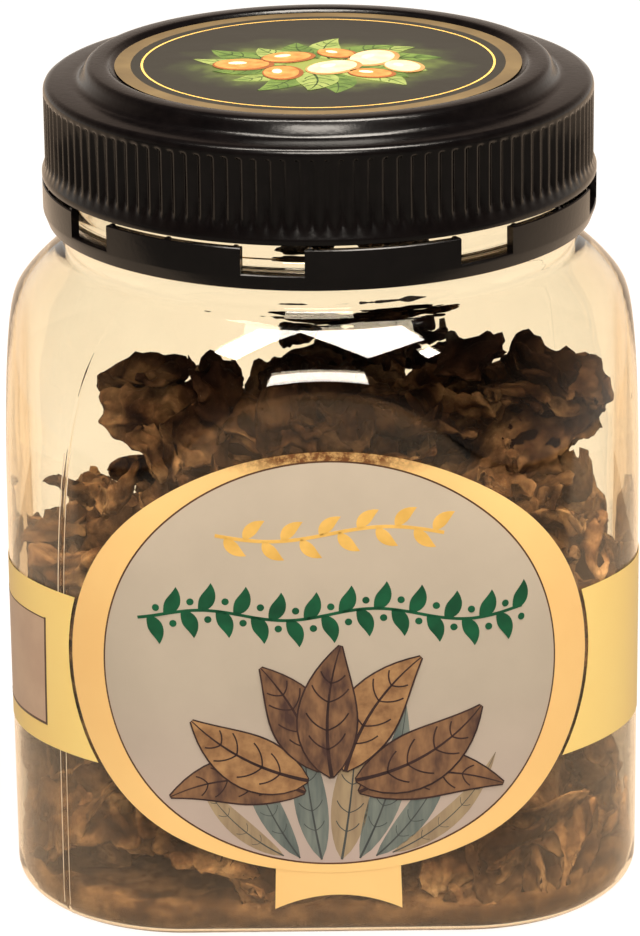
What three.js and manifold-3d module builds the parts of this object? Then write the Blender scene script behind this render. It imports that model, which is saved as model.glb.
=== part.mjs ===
// Clear square jar of dried black trumpet mushrooms, with a ribbed screw cap and a tamper band.
// Millimetres, +Z up. The origin is the centre of the base, and the front label faces -Y.

import * as THREE from 'three';
import { mergeVertices } from 'three/addons/utils/BufferGeometryUtils.js';
import Module from 'manifold-3d';

const wasm = await Module();
wasm.setup();

// Jar body: a square with round corners, cut off above by a round shoulder.
const jarHalfWidth = 48.75;
const jarCorner = 27.5;
const jarRounding = 3.5;
const jarWall = 0.9;
const jarSegments = 56;
const jarStraight = jarHalfWidth - jarCorner;
const cornerReach = jarStraight * Math.SQRT2 + jarCorner;

// Shoulder: a steep cone that bends over softly into the corners and meets the flats in a crease.
const shoulderTop = 99.5;
const shoulderSlope = 0.35;
const shoulderRadiusAtTop = 42.5;
const shoulderSoftness = 2.58;
const creaseSharpness = 60;
const shoulderLevels = [46, 58, 66, 72.5, 78, 82.5, 86.5, 90, 92.8, 95.2, 97.2];

// Base: a flat standing ring round a panel that is pushed up.
const standingRingWidth = 6;
const panelSlopeWidth = 5;
const panelRise = 3.5;

// Neck finish of 82 mm: a retaining bead for the band, and one thread of 1.25 turns.
const neckRadius = 39.5;
const neckInner = 37.6;
const neckFoot = 98.5;
const neckTop = 120.6;
const lipRounding = 0.4;
const beadRadius = 41;
const beadFoot = 103.8;
const beadHeight = 0.9;
const threadPitch = 5;
const threadFoot = 110.3;
const threadTurns = 1.25;
const threadCrest = 1.2;
const threadHalfBase = 1;
const threadHalfCrest = 0.4;
const threadSink = 0.3;
const threadStepsPerTurn = 36;
const threadTaperSteps = 2;

// Screw cap: raised disc with a lip round the sticker, a ledge, and a ribbed skirt.
const capTop = 126.2;
const capWall = 1.3;
const capChamfer = 0.6;
const capRecessDepth = 0.7;
const capRecessRadius = 32;
const capLipRadius = 32.5;
const capDiscRadius = 35.9;
const capDiscFoot = 37.4;
const capLedge = 123.6;
const capLedgeRadius = 41.9;
const capShoulderRadius = 42.5;
const capShoulderDrop = 0.6;
const capRibTop = 121.6;
const capRibFoot = 111.2;
const capRibDepth = 0.55;
const capRibCount = 120;
const capRimRadius = 43;
const capRimTop = 110.6;
const capFoot = 108.9;
const capBore = 41.2;
const capSegments = 48;
const capThreadDrop = 1.7;
const capThreadStart = 100;
const capThreadTurns = 1;

// Liner: a foam disc that seals the lip, loose under the cap.
const linerRadius = 40.3;
const linerThickness = 1;
const linerSegments = 40;

// Tamper band: stays on the neck, with windows in its top edge and thin bridges to the cap.
const bandTop = 108.3;
const bandFoot = 101.8;
const bandRadius = 43;
const bandFootRadius = 42.2;
const bandBore = 41.7;
const bandCatchRadius = 40.2;
const bandCatchTop = 103.5;
const bandCatchFoot = 102.7;
const bandTaperTop = 103.8;
const bandSegments = 48;
const windowCount = 8;
const windowAzimuth = -9.5;
const windowWidth = 9.5;
const windowDepth = 4;
const bridgeCount = 24;
const bridgeWidth = 0.9;
const bridgeDepth = 0.8;

// Gap that touching pieces keep, and the thickness of the printed labels.
const fitGap = 0.3;
const labelThickness = 0.25;

// Front label: an oval a little off the middle of the front, and a tab below it with an arched foot.
const labelShift = 0.9;
const ovalHalfWidth = 41.3;
const ovalHalfHeight = 33.95;
const ovalCentre = 45.15;
const ovalColumns = 26;
const ovalEnds = 0.06;
const tabHalfWidth = 9.5;
const tabFoot = 5.9;
const tabNotch = 8.2;
const tabSideWidth = 0.2;
const labelRows = 3;

// Wrap label: a band that runs from one side of the oval round the back to the other.
const wrapFoot = 28;
const wrapTop = 53.8;
const wrapClearance = 0.8;
const wrapCornerSteps = 8;

// Sticker on the lid.
const stickerRadius = 31.4;
const stickerSegments = 48;

// Dried trumpets: crumpled thin-walled funnels, dropped one by one into the jar.
const heapSeed = 14;
const heapPieces = 43;
const heapShrink = 0.3;
const heapTrials = 70;
const heapNudges = 260;

// Top of the heap: it falls away towards the back, is lower on the left, and lowest at the left wall.
const heapTop = 84;
const heapFall = 0.35;
const heapLevels = [
  { from: -60, level: 64 },
  { from: -35, level: 73 },
  { from: -10, level: 81 },
];
const crownRise = 5;
const crownPieces = [
  { pose: { yaw: 95, tilt: 58, roll: 0, x: 26, y: 2 }, shape: { length: 32, mouthWide: 12, mouthThin: 8 } },
  { pose: { yaw: 80, tilt: 105, roll: 0, x: -20, y: -6 }, shape: { length: 30, stem: 3.6, flare: 2.6 } },
  { pose: { yaw: 190, tilt: 60, roll: 0, x: 2, y: 4 }, shape: { length: 30, mouthWide: 11, mouthThin: 6 } },
];
const placeReach = 36;
const funnelSegments = 9;
const funnelWall = 1;
const funnelOuterLevels = [0.07, 0.28, 0.48, 0.66, 0.83, 1];
const funnelInnerLevels = [1, 0.82, 0.6];
const funnelPit = 0.36;
const beadGap = 1.35;
const beadLevels = 10;
const beadAngles = 14;
const wallClearance = 1.3;

const radians = (degrees) => (degrees * Math.PI) / 180;

// Azimuth from the front, towards +X, as an angle about +Z.
const fromFront = (azimuth) => radians(azimuth - 90);

// Smooth minimum of two lengths: the higher the power, the sharper the crease between them.
function softMinimum(a, b, power) {
  return (a ** -power + b ** -power) ** (-1 / power);
}

// Distance from the centre to the outline of a square with round corners.
function squareRadius(angle, half, corner) {
  const c = Math.abs(Math.cos(angle));
  const s = Math.abs(Math.sin(angle));
  const straight = half - corner;
  const flat = half / Math.max(c, s);
  if (Math.min(c, s) * flat <= straight) {
    return flat;
  }
  const b = straight * (c + s);
  return b + Math.sqrt(b * b - 2 * straight * straight + corner * corner);
}

function shoulderRadius(z) {
  const cone = shoulderRadiusAtTop + (shoulderTop - z) / shoulderSlope;
  return softMinimum(cone, cornerReach, shoulderSoftness);
}

// Outside of the jar at a height above its base.
function jarRadius(angle, z) {
  const below = Math.max(jarRounding - z, 0);
  const tuck = jarRounding - Math.sqrt(jarRounding ** 2 - below ** 2);
  const prism = squareRadius(angle, jarHalfWidth - tuck, jarCorner - tuck);
  return softMinimum(prism, shoulderRadius(z), creaseSharpness);
}

// A ring of points about the Z axis. The radius is a number or a function of the angle.
function ring(count, z, radius) {
  const radiusAt = typeof radius === 'function' ? radius : () => radius;
  return Array.from({ length: count }, (_, i) => {
    const angle = (2 * Math.PI * i) / count;
    const r = radiusAt(angle, i);
    return new THREE.Vector3(r * Math.cos(angle), r * Math.sin(angle), z);
  });
}

const pole = (z) => [new THREE.Vector3(0, 0, z)];

// Skin over a row of rings. Neighbours may differ in count, and a ring of one point is a pole.
function skin(rings, closed = false) {
  const points = [];
  const triangles = [];
  const starts = rings.map((row) => points.push(...row) - row.length);
  const pairs = closed ? rings.length : rings.length - 1;
  for (let k = 0; k < pairs; k += 1) {
    const next = (k + 1) % rings.length;
    const lower = rings[k].length;
    const upper = rings[next].length;
    const low = (i) => starts[k] + (i % lower);
    const high = (j) => starts[next] + (j % upper);
    let i = 0;
    let j = 0;
    while ((lower > 1 && i < lower) || (upper > 1 && j < upper)) {
      const lowFirst = upper === 1 || (lower > 1 && (i + 0.5) / lower <= (j + 0.5) / upper);
      if (lowFirst) {
        triangles.push(low(i), low(i + 1), high(j));
        i += 1;
      } else {
        triangles.push(low(i), high(j + 1), high(j));
        j += 1;
      }
    }
  }
  return solid(points, triangles);
}

// Geometry from points and triangles, with its faces turned outward.
function solid(points, triangles) {
  let volume = 0;
  for (let k = 0; k < triangles.length; k += 3) {
    const [a, b, c] = triangles.slice(k, k + 3).map((i) => points[i]);
    volume += a.dot(new THREE.Vector3().crossVectors(b, c));
  }
  const index = volume < 0 ? triangles.toReversed() : triangles;
  const geometry = new THREE.BufferGeometry().setFromPoints(points);
  geometry.setIndex([...index]);
  return geometry;
}

function toManifold(geometry) {
  const bare = geometry.clone();
  bare.deleteAttribute('normal');
  bare.deleteAttribute('uv');
  const merged = mergeVertices(bare);
  return new wasm.Manifold(new wasm.Mesh({
    numProp: 3,
    vertProperties: new Float32Array(merged.attributes.position.array),
    triVerts: new Uint32Array(merged.index.array),
  }));
}

function fromManifold(manifold) {
  const { vertProperties, triVerts, numProp } = manifold.getMesh();
  const positions = new Float32Array((vertProperties.length / numProp) * 3);
  for (let i = 0; i < positions.length / 3; i += 1) {
    positions.set(vertProperties.subarray(i * numProp, i * numProp + 3), i * 3);
  }
  const geometry = new THREE.BufferGeometry();
  geometry.setAttribute('position', new THREE.BufferAttribute(positions, 3));
  geometry.setIndex([...triVerts]);
  return geometry;
}

const model = new THREE.Group();

function addNode(name, geometry, look) {
  geometry.computeVertexNormals();
  const mesh = new THREE.Mesh(geometry, new THREE.MeshStandardMaterial(look));
  mesh.name = name;
  model.add(mesh);
}

// Helical ridge on a wall. Direction is 1 for a ridge that stands out and -1 for one inside a bore.
function threadRidge(wallRadius, direction, foot, startAngle, turns) {
  const steps = Math.round(turns * threadStepsPerTurn);
  const sections = [];
  for (let i = 0; i <= steps; i += 1) {
    const turned = (2 * Math.PI * i) / threadStepsPerTurn;
    const angle = startAngle + turned;
    const z = foot + (threadPitch * turned) / (2 * Math.PI);
    const fade = Math.min(1, i / threadTaperSteps, (steps - i) / threadTaperSteps);
    const root = wallRadius - direction * threadSink;
    const crest = wallRadius + direction * (threadCrest * fade - (threadSink * (1 - fade)) / 2);
    const corners = [
      [root, z - threadHalfBase],
      [crest, z - threadHalfCrest],
      [crest, z + threadHalfCrest],
      [root, z + threadHalfBase],
    ];
    sections.push(corners.map(([r, h]) => new THREE.Vector3(r * Math.cos(angle), r * Math.sin(angle), h)));
  }
  const centre = (points) => [points.reduce((sum, p) => sum.add(p), new THREE.Vector3()).divideScalar(points.length)];
  return skin([centre(sections[0]), ...sections, centre(sections.at(-1))]);
}

// Jar

function jarGeometry() {
  const outside = (z) => ring(jarSegments, z, (angle) => jarRadius(angle, z));
  const inside = (z, top = z) => ring(jarSegments, top, (angle) => jarRadius(angle, z) - jarWall);
  const inset = (z, width) => ring(jarSegments, z, (angle) => (
    squareRadius(angle, jarHalfWidth - width, Math.max(jarCorner - width, 1))));
  const round = (z, radius) => ring(jarSegments, z, radius);
  const roundingLevels = [0, 30, 60, 90].map((a) => jarRounding * (1 - Math.cos(radians(a))));
  const ringInner = jarRounding + standingRingWidth;
  const panel = ringInner + panelSlopeWidth;
  return skin([
    pole(panelRise),
    inset(panelRise, panel),
    inset(0, ringInner),
    ...roundingLevels.map((z) => outside(z)),
    ...shoulderLevels.map((z) => outside(z)),
    round(neckFoot, neckRadius),
    round(beadFoot, neckRadius),
    round(beadFoot + beadHeight, beadRadius),
    round(beadFoot + 2 * beadHeight, beadRadius),
    round(beadFoot + 3 * beadHeight, neckRadius),
    round(neckTop - lipRounding, neckRadius),
    round(neckTop, neckRadius - lipRounding),
    round(neckTop, neckInner + lipRounding),
    round(neckTop - lipRounding, neckInner),
    round(neckFoot, neckInner),
    ...shoulderLevels.toReversed().filter((_, i) => i % 2 === 0).map((z) => inside(z)),
    inside(jarRounding, jarRounding),
    inset(jarWall, jarRounding + jarWall),
    inset(jarWall, ringInner),
    inset(panelRise + jarWall, panel),
    pole(panelRise + jarWall),
  ]);
}

const jarThread = threadRidge(neckRadius, 1, threadFoot, fromFront(0), threadTurns);
addNode('jar', fromManifold(toManifold(jarGeometry()).add(toManifold(jarThread))), {
  color: 0xf4ead2,
  roughness: 0.06,
  transparent: true,
  opacity: 0.3,
});

// Screw cap

function capGeometry() {
  const round = (radius, z) => ring(capSegments, z, radius);
  const ribs = (z) => ring(2 * capRibCount, z, (_, i) => capShoulderRadius - capRibDepth * (i % 2));
  const inner = capTop - capRecessDepth - capWall;
  const underLedge = capLedge - capWall;
  return skin([
    pole(capTop - capRecessDepth),
    round(capRecessRadius, capTop - capRecessDepth),
    round(capLipRadius, capTop),
    round(capDiscRadius, capTop),
    round(capDiscFoot, capLedge),
    round(capLedgeRadius, capLedge),
    round(capShoulderRadius, capLedge - capShoulderDrop),
    round(capShoulderRadius, capRibTop + capChamfer),
    ribs(capRibTop),
    ribs(capRibFoot),
    round(capRimRadius, capRimTop),
    round(capRimRadius, capFoot),
    round(capBore, capFoot),
    round(capBore, underLedge - capChamfer),
    round(capBore - capChamfer, underLedge),
    round(capDiscFoot - capWall, underLedge),
    round(capDiscRadius - capWall, inner),
    pole(inner),
  ]);
}

const capThread = threadRidge(
  capBore, -1, threadFoot - capThreadDrop + (threadPitch * capThreadStart) / 360,
  fromFront(capThreadStart), capThreadTurns);
addNode('screw_cap', fromManifold(toManifold(capGeometry()).add(toManifold(capThread))), {
  color: 0x0a0a0b,
  roughness: 0.25,
});

// Liner

function disc(radius, segments, low, high) {
  return skin([pole(low), ring(segments, low, radius), ring(segments, high, radius), pole(high)]);
}

const linerTop = capLedge - capWall - fitGap;
addNode('cap_liner', disc(linerRadius, linerSegments, linerTop - linerThickness, linerTop), {
  color: 0xf2f0ea,
  roughness: 0.9,
});

// Tamper band

function boxAt(azimuth, radius, sizeRadial, sizeAround, low, high) {
  const box = new THREE.BoxGeometry(sizeRadial, sizeAround, high - low);
  box.translate(radius, 0, (low + high) / 2);
  box.rotateZ(fromFront(azimuth));
  return toManifold(box);
}

function bandGeometry() {
  const round = (radius, z) => ring(bandSegments, z, radius);
  let band = toManifold(skin([
    round(bandFootRadius, bandFoot),
    round(bandRadius, bandTaperTop),
    round(bandRadius, bandTop),
    round(bandBore, bandTop),
    round(bandBore, bandTaperTop + fitGap),
    round(bandCatchRadius, bandCatchTop),
    round(bandCatchRadius, bandCatchFoot),
    round(bandBore - fitGap, bandFoot),
  ], true));
  const middle = (bandRadius + bandBore) / 2;
  const windowFoot = bandTop - windowDepth;
  const throughWall = 4 * (bandRadius - bandBore);
  for (let i = 0; i < windowCount; i += 1) {
    const azimuth = windowAzimuth + (360 * i) / windowCount;
    band = band.subtract(boxAt(azimuth, middle, throughWall, windowWidth, windowFoot, bandTop + 1));
  }
  for (let i = 0; i < bridgeCount; i += 1) {
    const azimuth = windowAzimuth + (360 * (i + 0.5)) / bridgeCount;
    band = band.add(boxAt(azimuth, middle, bridgeDepth, bridgeWidth, bandTop - fitGap, bandTop + fitGap));
  }
  return fromManifold(band);
}

addNode('tamper_band', bandGeometry(), { color: 0x0b0b0c, roughness: 0.3 });

// Labels

// Point on the jar at a length along its outline from the middle of the front, towards +X.
function onJar(along, z, standoff) {
  const side = Math.sign(along) || 1;
  const cornerLength = (jarCorner * Math.PI) / 2;
  const faceLength = 2 * jarStraight;
  let left = Math.abs(along);
  let turn = 0;
  if (left > jarStraight) {
    left -= jarStraight;
    turn = Math.floor(left / (cornerLength + faceLength));
    left -= turn * (cornerLength + faceLength);
    const bend = Math.min(left, cornerLength) / jarCorner;
    const past = Math.max(left - cornerLength, 0);
    const local = new THREE.Vector2(
      jarStraight + jarCorner * Math.sin(bend) + past * Math.cos(bend),
      -jarStraight - jarCorner * Math.cos(bend) + past * Math.sin(bend));
    return placeOnJar(local.rotateAround(new THREE.Vector2(), (turn * Math.PI) / 2), side, z, standoff);
  }
  return placeOnJar(new THREE.Vector2(left, -jarHalfWidth), side, z, standoff);
}

function placeOnJar(plan, side, z, standoff) {
  const angle = Math.atan2(plan.y, side * plan.x);
  const radius = jarRadius(angle, z) + standoff;
  return new THREE.Vector3(radius * Math.cos(angle), radius * Math.sin(angle), z);
}

// Thin sheet on the jar, from columns that each give a length along the outline, a foot and a top.
function sheetOnJar(columnAt, columns, rows) {
  const grid = (standoff) => columns.map((column) => (
    Array.from({ length: rows + 1 }, (_, j) => {
      const [along, z] = columnAt(column, j / rows);
      return onJar(along, z, standoff);
    })));
  const inner = grid(fitGap);
  const outer = grid(fitGap + labelThickness);
  const loops = columns.map((_, i) => [...inner[i], ...outer[i].toReversed()]);
  const points = loops.flat();
  const size = 2 * (rows + 1);
  const triangles = [];
  const quad = (a, b, c, d) => triangles.push(a, b, c, a, c, d);
  for (let i = 0; i + 1 < columns.length; i += 1) {
    for (let k = 0; k < size; k += 1) {
      const next = (k + 1) % size;
      quad(i * size + k, (i + 1) * size + k, (i + 1) * size + next, i * size + next);
    }
  }
  const last = (columns.length - 1) * size;
  for (let j = 0; j < rows; j += 1) {
    quad(j, j + 1, size - 2 - j, size - 1 - j);
    quad(last + size - 1 - j, last + size - 2 - j, last + j + 1, last + j);
  }
  return solid(points, triangles);
}

const ovalEdge = (along) => (
  ovalHalfHeight * Math.sqrt(Math.max(1 - (along / ovalHalfWidth) ** 2, 0)));

function frontLabelGeometry() {
  const ovalSteps = Array.from({ length: ovalColumns + 1 }, (_, i) => (
    -ovalHalfWidth * Math.cos(ovalEnds + ((Math.PI - 2 * ovalEnds) * i) / ovalColumns)));
  const tabSides = [-1, 1].flatMap((side) => [side * tabHalfWidth, side * (tabHalfWidth - tabSideWidth)]);
  const columns = [...ovalSteps, ...tabSides].sort((a, b) => a - b);
  const columnAt = (along, part) => {
    const onTab = Math.abs(along) < tabHalfWidth - tabSideWidth / 2;
    const tabEdge = tabNotch - (tabNotch - tabFoot) * (along / tabHalfWidth) ** 2;
    const foot = onTab ? tabEdge : ovalCentre - ovalEdge(along);
    const z = THREE.MathUtils.lerp(foot, ovalCentre + ovalEdge(along), part);
    return [along + labelShift, z];
  };
  return sheetOnJar(columnAt, columns, labelRows);
}

function wrapLabelGeometry() {
  const corner = (jarCorner * Math.PI) / 2;
  const perimeter = 8 * jarStraight + 4 * corner;
  const cornerStarts = [0, 1, 2, 3].map((k) => jarStraight + k * (corner + 2 * jarStraight));
  const stops = cornerStarts.flatMap((start) => (
    Array.from({ length: wrapCornerSteps + 1 }, (_, i) => start + (corner * i) / wrapCornerSteps)));
  const first = labelShift + ovalHalfWidth + wrapClearance;
  const last = perimeter + labelShift - ovalHalfWidth - wrapClearance;
  const columnAt = (column, part) => {
    const z = THREE.MathUtils.lerp(wrapFoot, wrapTop, part);
    const taper = ovalHalfWidth * (1 - Math.sqrt(1 - ((z - ovalCentre) / ovalHalfHeight) ** 2));
    if (column === first) {
      return [column - taper, z];
    }
    return [column === last ? column + taper : column, z];
  };
  return sheetOnJar(columnAt, [first, ...stops.filter((s) => s > first && s < last), last], labelRows);
}

addNode('front_label', frontLabelGeometry(), { color: 0xd9bd84, roughness: 0.5 });
addNode('wrap_label', wrapLabelGeometry(), { color: 0xf5c877, roughness: 0.5 });

const stickerFoot = capTop - capRecessDepth + fitGap / 2;
addNode('cap_sticker', disc(stickerRadius, stickerSegments, stickerFoot, stickerFoot + labelThickness), {
  color: 0x8f9a78,
  roughness: 0.35,
});

// Dried trumpets

// Seeded random numbers from 0 to 1.
function randomSource(seed) {
  let state = seed;
  return () => {
    state = (state + 0x6d2b79f5) | 0;
    let t = Math.imul(state ^ (state >>> 15), 1 | state);
    t = (t + Math.imul(t ^ (t >>> 7), 61 | t)) ^ t;
    return ((t ^ (t >>> 14)) >>> 0) / 4294967296;
  };
}

// A funnel is a bent tube that widens to a flattened, lobed mouth.
function funnelShape(between, size = 1) {
  return {
    length: between(28, 52) * size,
    stem: between(2.6, 4),
    mouthWide: between(9, 16) * size,
    mouthThin: between(3.6, 7.5) * size,
    flare: between(1.5, 2.7),
    bend: radians(between(15, 75)),
    twist: radians(between(-70, 70)),
    lobes: Math.round(between(2, 4)),
    lobeDepth: between(0.08, 0.2),
    crumple: between(0.05, 0.12),
    curl: between(0, 5),
    phase: between(0, 2 * Math.PI),
  };
}

// Point of a funnel at a part of its length and an angle round it, inset from the outside.
function funnelPoint(shape, part, angle, inset) {
  const widen = part ** shape.flare;
  const wide = THREE.MathUtils.lerp(shape.stem, shape.mouthWide, widen) - inset;
  const thin = THREE.MathUtils.lerp(shape.stem, shape.mouthThin, widen) - inset;
  const lobe = 1 + widen * shape.lobeDepth * Math.cos(shape.lobes * angle + shape.phase);
  const folds = Math.sin(3 * angle + 9 * part + shape.phase) * Math.cos(5 * angle - 4 * part);
  const swell = lobe + shape.crumple * folds;
  const turned = shape.twist * part;
  const u = wide * swell * Math.cos(angle);
  const v = thin * swell * Math.sin(angle);
  const across = u * Math.cos(turned) - v * Math.sin(turned);
  const side = u * Math.sin(turned) + v * Math.cos(turned);
  const bent = shape.bend * part;
  const radius = shape.length / shape.bend;
  const droop = shape.curl * widen ** 2 * Math.cos(2 * angle + shape.phase);
  return new THREE.Vector3(
    radius * (1 - Math.cos(bent)) + across * Math.cos(bent) + droop * Math.sin(bent),
    side,
    radius * Math.sin(bent) - across * Math.sin(bent) + droop * Math.cos(bent));
}

function funnelRing(shape, part, inset, count) {
  return Array.from({ length: count }, (_, i) => (
    funnelPoint(shape, part, (2 * Math.PI * i) / count, inset)));
}

function funnelCentre(shape, part) {
  const points = funnelRing(shape, part, 0, funnelSegments);
  return points.reduce((sum, p) => sum.add(p), new THREE.Vector3()).divideScalar(points.length);
}

function funnelGeometry(shape, placement) {
  const rings = [
    [funnelCentre(shape, 0)],
    ...funnelOuterLevels.map((part) => funnelRing(shape, part, 0, funnelSegments)),
    ...funnelInnerLevels.map((part) => funnelRing(shape, part, funnelWall, funnelSegments)),
    [funnelCentre(shape, funnelPit)],
  ];
  rings.flat().forEach((point) => point.applyMatrix4(placement));
  return skin(rings);
}

// How far a point stands above the top of the heap.
function aboveHeap(point) {
  const { level } = heapLevels.findLast(({ from }) => point.x >= from);
  return Math.max(point.z + heapFall * point.y - level, point.z - heapTop);
}

// Height of the jar's inner floor: lowest over the standing ring, higher by the wall and over the panel.
function floorHeight(x, y) {
  const inset = squareRadius(Math.atan2(y, x), jarHalfWidth, jarCorner) - Math.hypot(x, y);
  if (inset < jarRounding + 2 * jarWall) {
    return jarRounding + wallClearance;
  }
  const onPanel = inset > jarRounding + standingRingWidth - 1;
  return jarWall + wallClearance + (onPanel ? panelRise : 0);
}

function insideJar(point) {
  const angle = Math.atan2(point.y, point.x);
  return Math.hypot(point.x, point.y) < jarRadius(angle, Math.max(point.z, jarRounding)) - jarWall - wallClearance;
}

// Pieces come to rest on the beads that stand for the surfaces below them.
class Heap {
  constructor(cell) {
    this.cell = cell;
    this.cells = new Map();
  }

  key(x, y) {
    return `${Math.floor(x / this.cell)},${Math.floor(y / this.cell)}`;
  }

  near(x, y) {
    const found = [];
    for (const dx of [-this.cell, 0, this.cell]) {
      for (const dy of [-this.cell, 0, this.cell]) {
        found.push(...(this.cells.get(this.key(x + dx, y + dy)) ?? []));
      }
    }
    return found;
  }

  add(points) {
    for (const point of points) {
      const key = this.key(point.x, point.y);
      this.cells.set(key, [...(this.cells.get(key) ?? []), point]);
    }
  }

  // How far a set of points, given at height 0, has to be raised to rest on the heap.
  restHeight(points) {
    const reach = 2 * beadGap;
    let rest = -Infinity;
    for (const point of points) {
      rest = Math.max(rest, floorHeight(point.x, point.y) - point.z);
      for (const other of this.near(point.x, point.y)) {
        const apart = Math.hypot(point.x - other.x, point.y - other.y);
        if (apart < reach) {
          rest = Math.max(rest, other.z + Math.sqrt(reach ** 2 - apart ** 2) - point.z);
        }
      }
    }
    return rest;
  }
}

function funnelBeads(shape) {
  const beads = [];
  for (let level = 0; level <= beadLevels; level += 1) {
    beads.push(...funnelRing(shape, level / beadLevels, 0, beadAngles));
  }
  return beads;
}

// A pose is degrees of yaw, tilt and roll with the place of the middle of the piece.
function settle(heap, shape, pose) {
  const matrix = turnedBy(radians(pose.yaw), radians(pose.tilt), radians(pose.roll));
  const beads = funnelBeads(shape).map((p) => p.applyMatrix4(matrix));
  const middle = beads.reduce((sum, p) => sum.add(p), new THREE.Vector3()).divideScalar(beads.length);
  const shift = new THREE.Vector3(pose.x - middle.x, pose.y - middle.y, 0);
  beads.forEach((p) => p.add(shift));
  if (!beads.every((p) => Math.hypot(p.x, p.y) < cornerReach)) {
    return null;
  }
  const raise = heap.restHeight(beads);
  beads.forEach((p) => p.setZ(p.z + raise));
  if (!beads.every(insideJar)) {
    return null;
  }
  const placement = new THREE.Matrix4().makeTranslation(shift.x, shift.y, raise).multiply(matrix);
  const above = Math.max(...beads.map(aboveHeap));
  return { beads, placement, shape, pose, above, middle: middle.z + raise };
}

// Roll turns a piece about its own length, tilt leans it towards -Y, and yaw turns it about +Z.
function turnedBy(yaw, tilt, roll) {
  return new THREE.Matrix4().makeRotationZ(yaw)
    .multiply(new THREE.Matrix4().makeRotationX(tilt))
    .multiply(new THREE.Matrix4().makeRotationZ(roll));
}

// Each piece is tried in many places, and nudged from the lowest of them until it lies lower still.
function fillHeap() {
  const random = randomSource(heapSeed);
  const between = (low, high) => low + (high - low) * random();
  const near = (value, reach) => value + between(-reach, reach);
  const heap = new Heap(2 * beadGap);
  const placed = [];
  const place = (shape, rise, firstPose, nudges) => {
    let best = null;
    const attempt = (pose) => {
      const rest = settle(heap, shape, pose);
      if (rest && rest.above < rise && (!best || rest.middle < best.middle)) {
        best = rest;
      }
    };
    for (let trial = 0; trial < heapTrials; trial += 1) {
      attempt(firstPose());
    }
    for (let nudge = 0; best && nudge < nudges; nudge += 1) {
      const reach = 1 - nudge / nudges;
      const { yaw, tilt, roll, x, y } = best.pose;
      attempt({
        yaw: near(yaw, 40 * reach),
        tilt: near(tilt, 15 * reach),
        roll: near(roll, 60 * reach),
        x: near(x, 8 * reach),
        y: near(y, 8 * reach),
      });
    }
    if (best) {
      heap.add(best.beads);
      placed.push(best);
    }
  };
  for (let n = 0; n < heapPieces; n += 1) {
    place(funnelShape(between, 1 - (heapShrink * n) / heapPieces), 0, () => ({
      yaw: between(0, 360),
      tilt: between(60, 120),
      roll: between(0, 360),
      x: between(-placeReach, placeReach),
      y: between(-placeReach, placeReach),
    }), heapNudges);
  }
  for (const { pose, shape } of crownPieces) {
    place({ ...funnelShape(between), ...shape }, crownRise, () => ({
      yaw: near(pose.yaw, 8),
      tilt: near(pose.tilt, 8),
      roll: near(pose.roll, 20),
      x: near(pose.x, 4),
      y: near(pose.y, 4),
    }), 0);
  }
  return placed;
}

fillHeap().forEach(({ shape, placement }, i) => {
  const name = `dried_trumpet_${String(i + 1).padStart(2, '0')}`;
  addNode(name, funnelGeometry(shape, placement), { color: 0x2b211b, roughness: 0.85 });
});

export default model;
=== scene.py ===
"""Looks for the jar of dried black trumpets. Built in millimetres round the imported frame."""

import math
import random
from contextlib import contextmanager

import bmesh
import bpy
import numpy as np
from mathutils import Matrix, Vector, noise
from mathutils.bvhtree import BVHTree


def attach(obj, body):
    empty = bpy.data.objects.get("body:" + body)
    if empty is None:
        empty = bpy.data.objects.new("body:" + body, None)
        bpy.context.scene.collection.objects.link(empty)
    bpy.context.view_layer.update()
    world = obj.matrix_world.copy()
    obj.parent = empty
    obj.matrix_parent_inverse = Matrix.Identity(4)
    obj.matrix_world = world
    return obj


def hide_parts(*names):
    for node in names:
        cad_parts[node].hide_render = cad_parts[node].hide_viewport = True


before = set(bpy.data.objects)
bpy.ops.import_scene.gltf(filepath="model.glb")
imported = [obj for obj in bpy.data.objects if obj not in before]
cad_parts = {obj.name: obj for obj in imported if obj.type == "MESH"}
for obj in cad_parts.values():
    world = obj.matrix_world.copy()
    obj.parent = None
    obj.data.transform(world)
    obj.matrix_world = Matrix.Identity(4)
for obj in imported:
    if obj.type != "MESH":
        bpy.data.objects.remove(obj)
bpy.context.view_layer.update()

MM = 0.001

# Jar, with the same outline as the solid in the frame.
JAR_HALF = 48.75
JAR_CORNER = 27.5
JAR_STRAIGHT = JAR_HALF - JAR_CORNER
CORNER_LENGTH = JAR_CORNER * math.pi / 2
SIDE_LENGTH = CORNER_LENGTH + 2 * JAR_STRAIGHT
PERIMETER = 8 * JAR_STRAIGHT + 4 * CORNER_LENGTH
JAR_ROUNDING = 3.5
JAR_WALL = 0.55
FLOOR_INSIDE = 3.6
BED_GAP = 0.15
CORNER_REACH = JAR_STRAIGHT * math.sqrt(2) + JAR_CORNER
SHOULDER_TOP = 99.5
SHOULDER_SLOPE = 0.35
SHOULDER_RADIUS = 42.5
SHOULDER_SOFTNESS = 2.58
CREASE_SHARPNESS = 60
NECK_RADIUS = 39.5
NECK_INNER = 37.6
NECK_TOP = 120.6
PARTING_ANGLES = (45, 225)
PARTING_WIDTH = 0.2
PARTING_HEIGHT = 0.035

# Labels
LABEL_SHIFT = 0.9
OVAL_WIDTH = 41.3
OVAL_HEIGHT = 33.95
OVAL_CENTRE = 45.15
FIELD_WIDTH = 34.75
FIELD_HEIGHT = 32.3
WRAP_FOOT = 28
WRAP_TOP = 53.8
WRAP_GAP = 0.8
LABEL_GAP = 0.12
FILM_GAP = 0.03
FILM_FOOT = 2.2
PRINT_STEP = 0.012
PRINT_THICKNESS = 0.015

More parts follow.
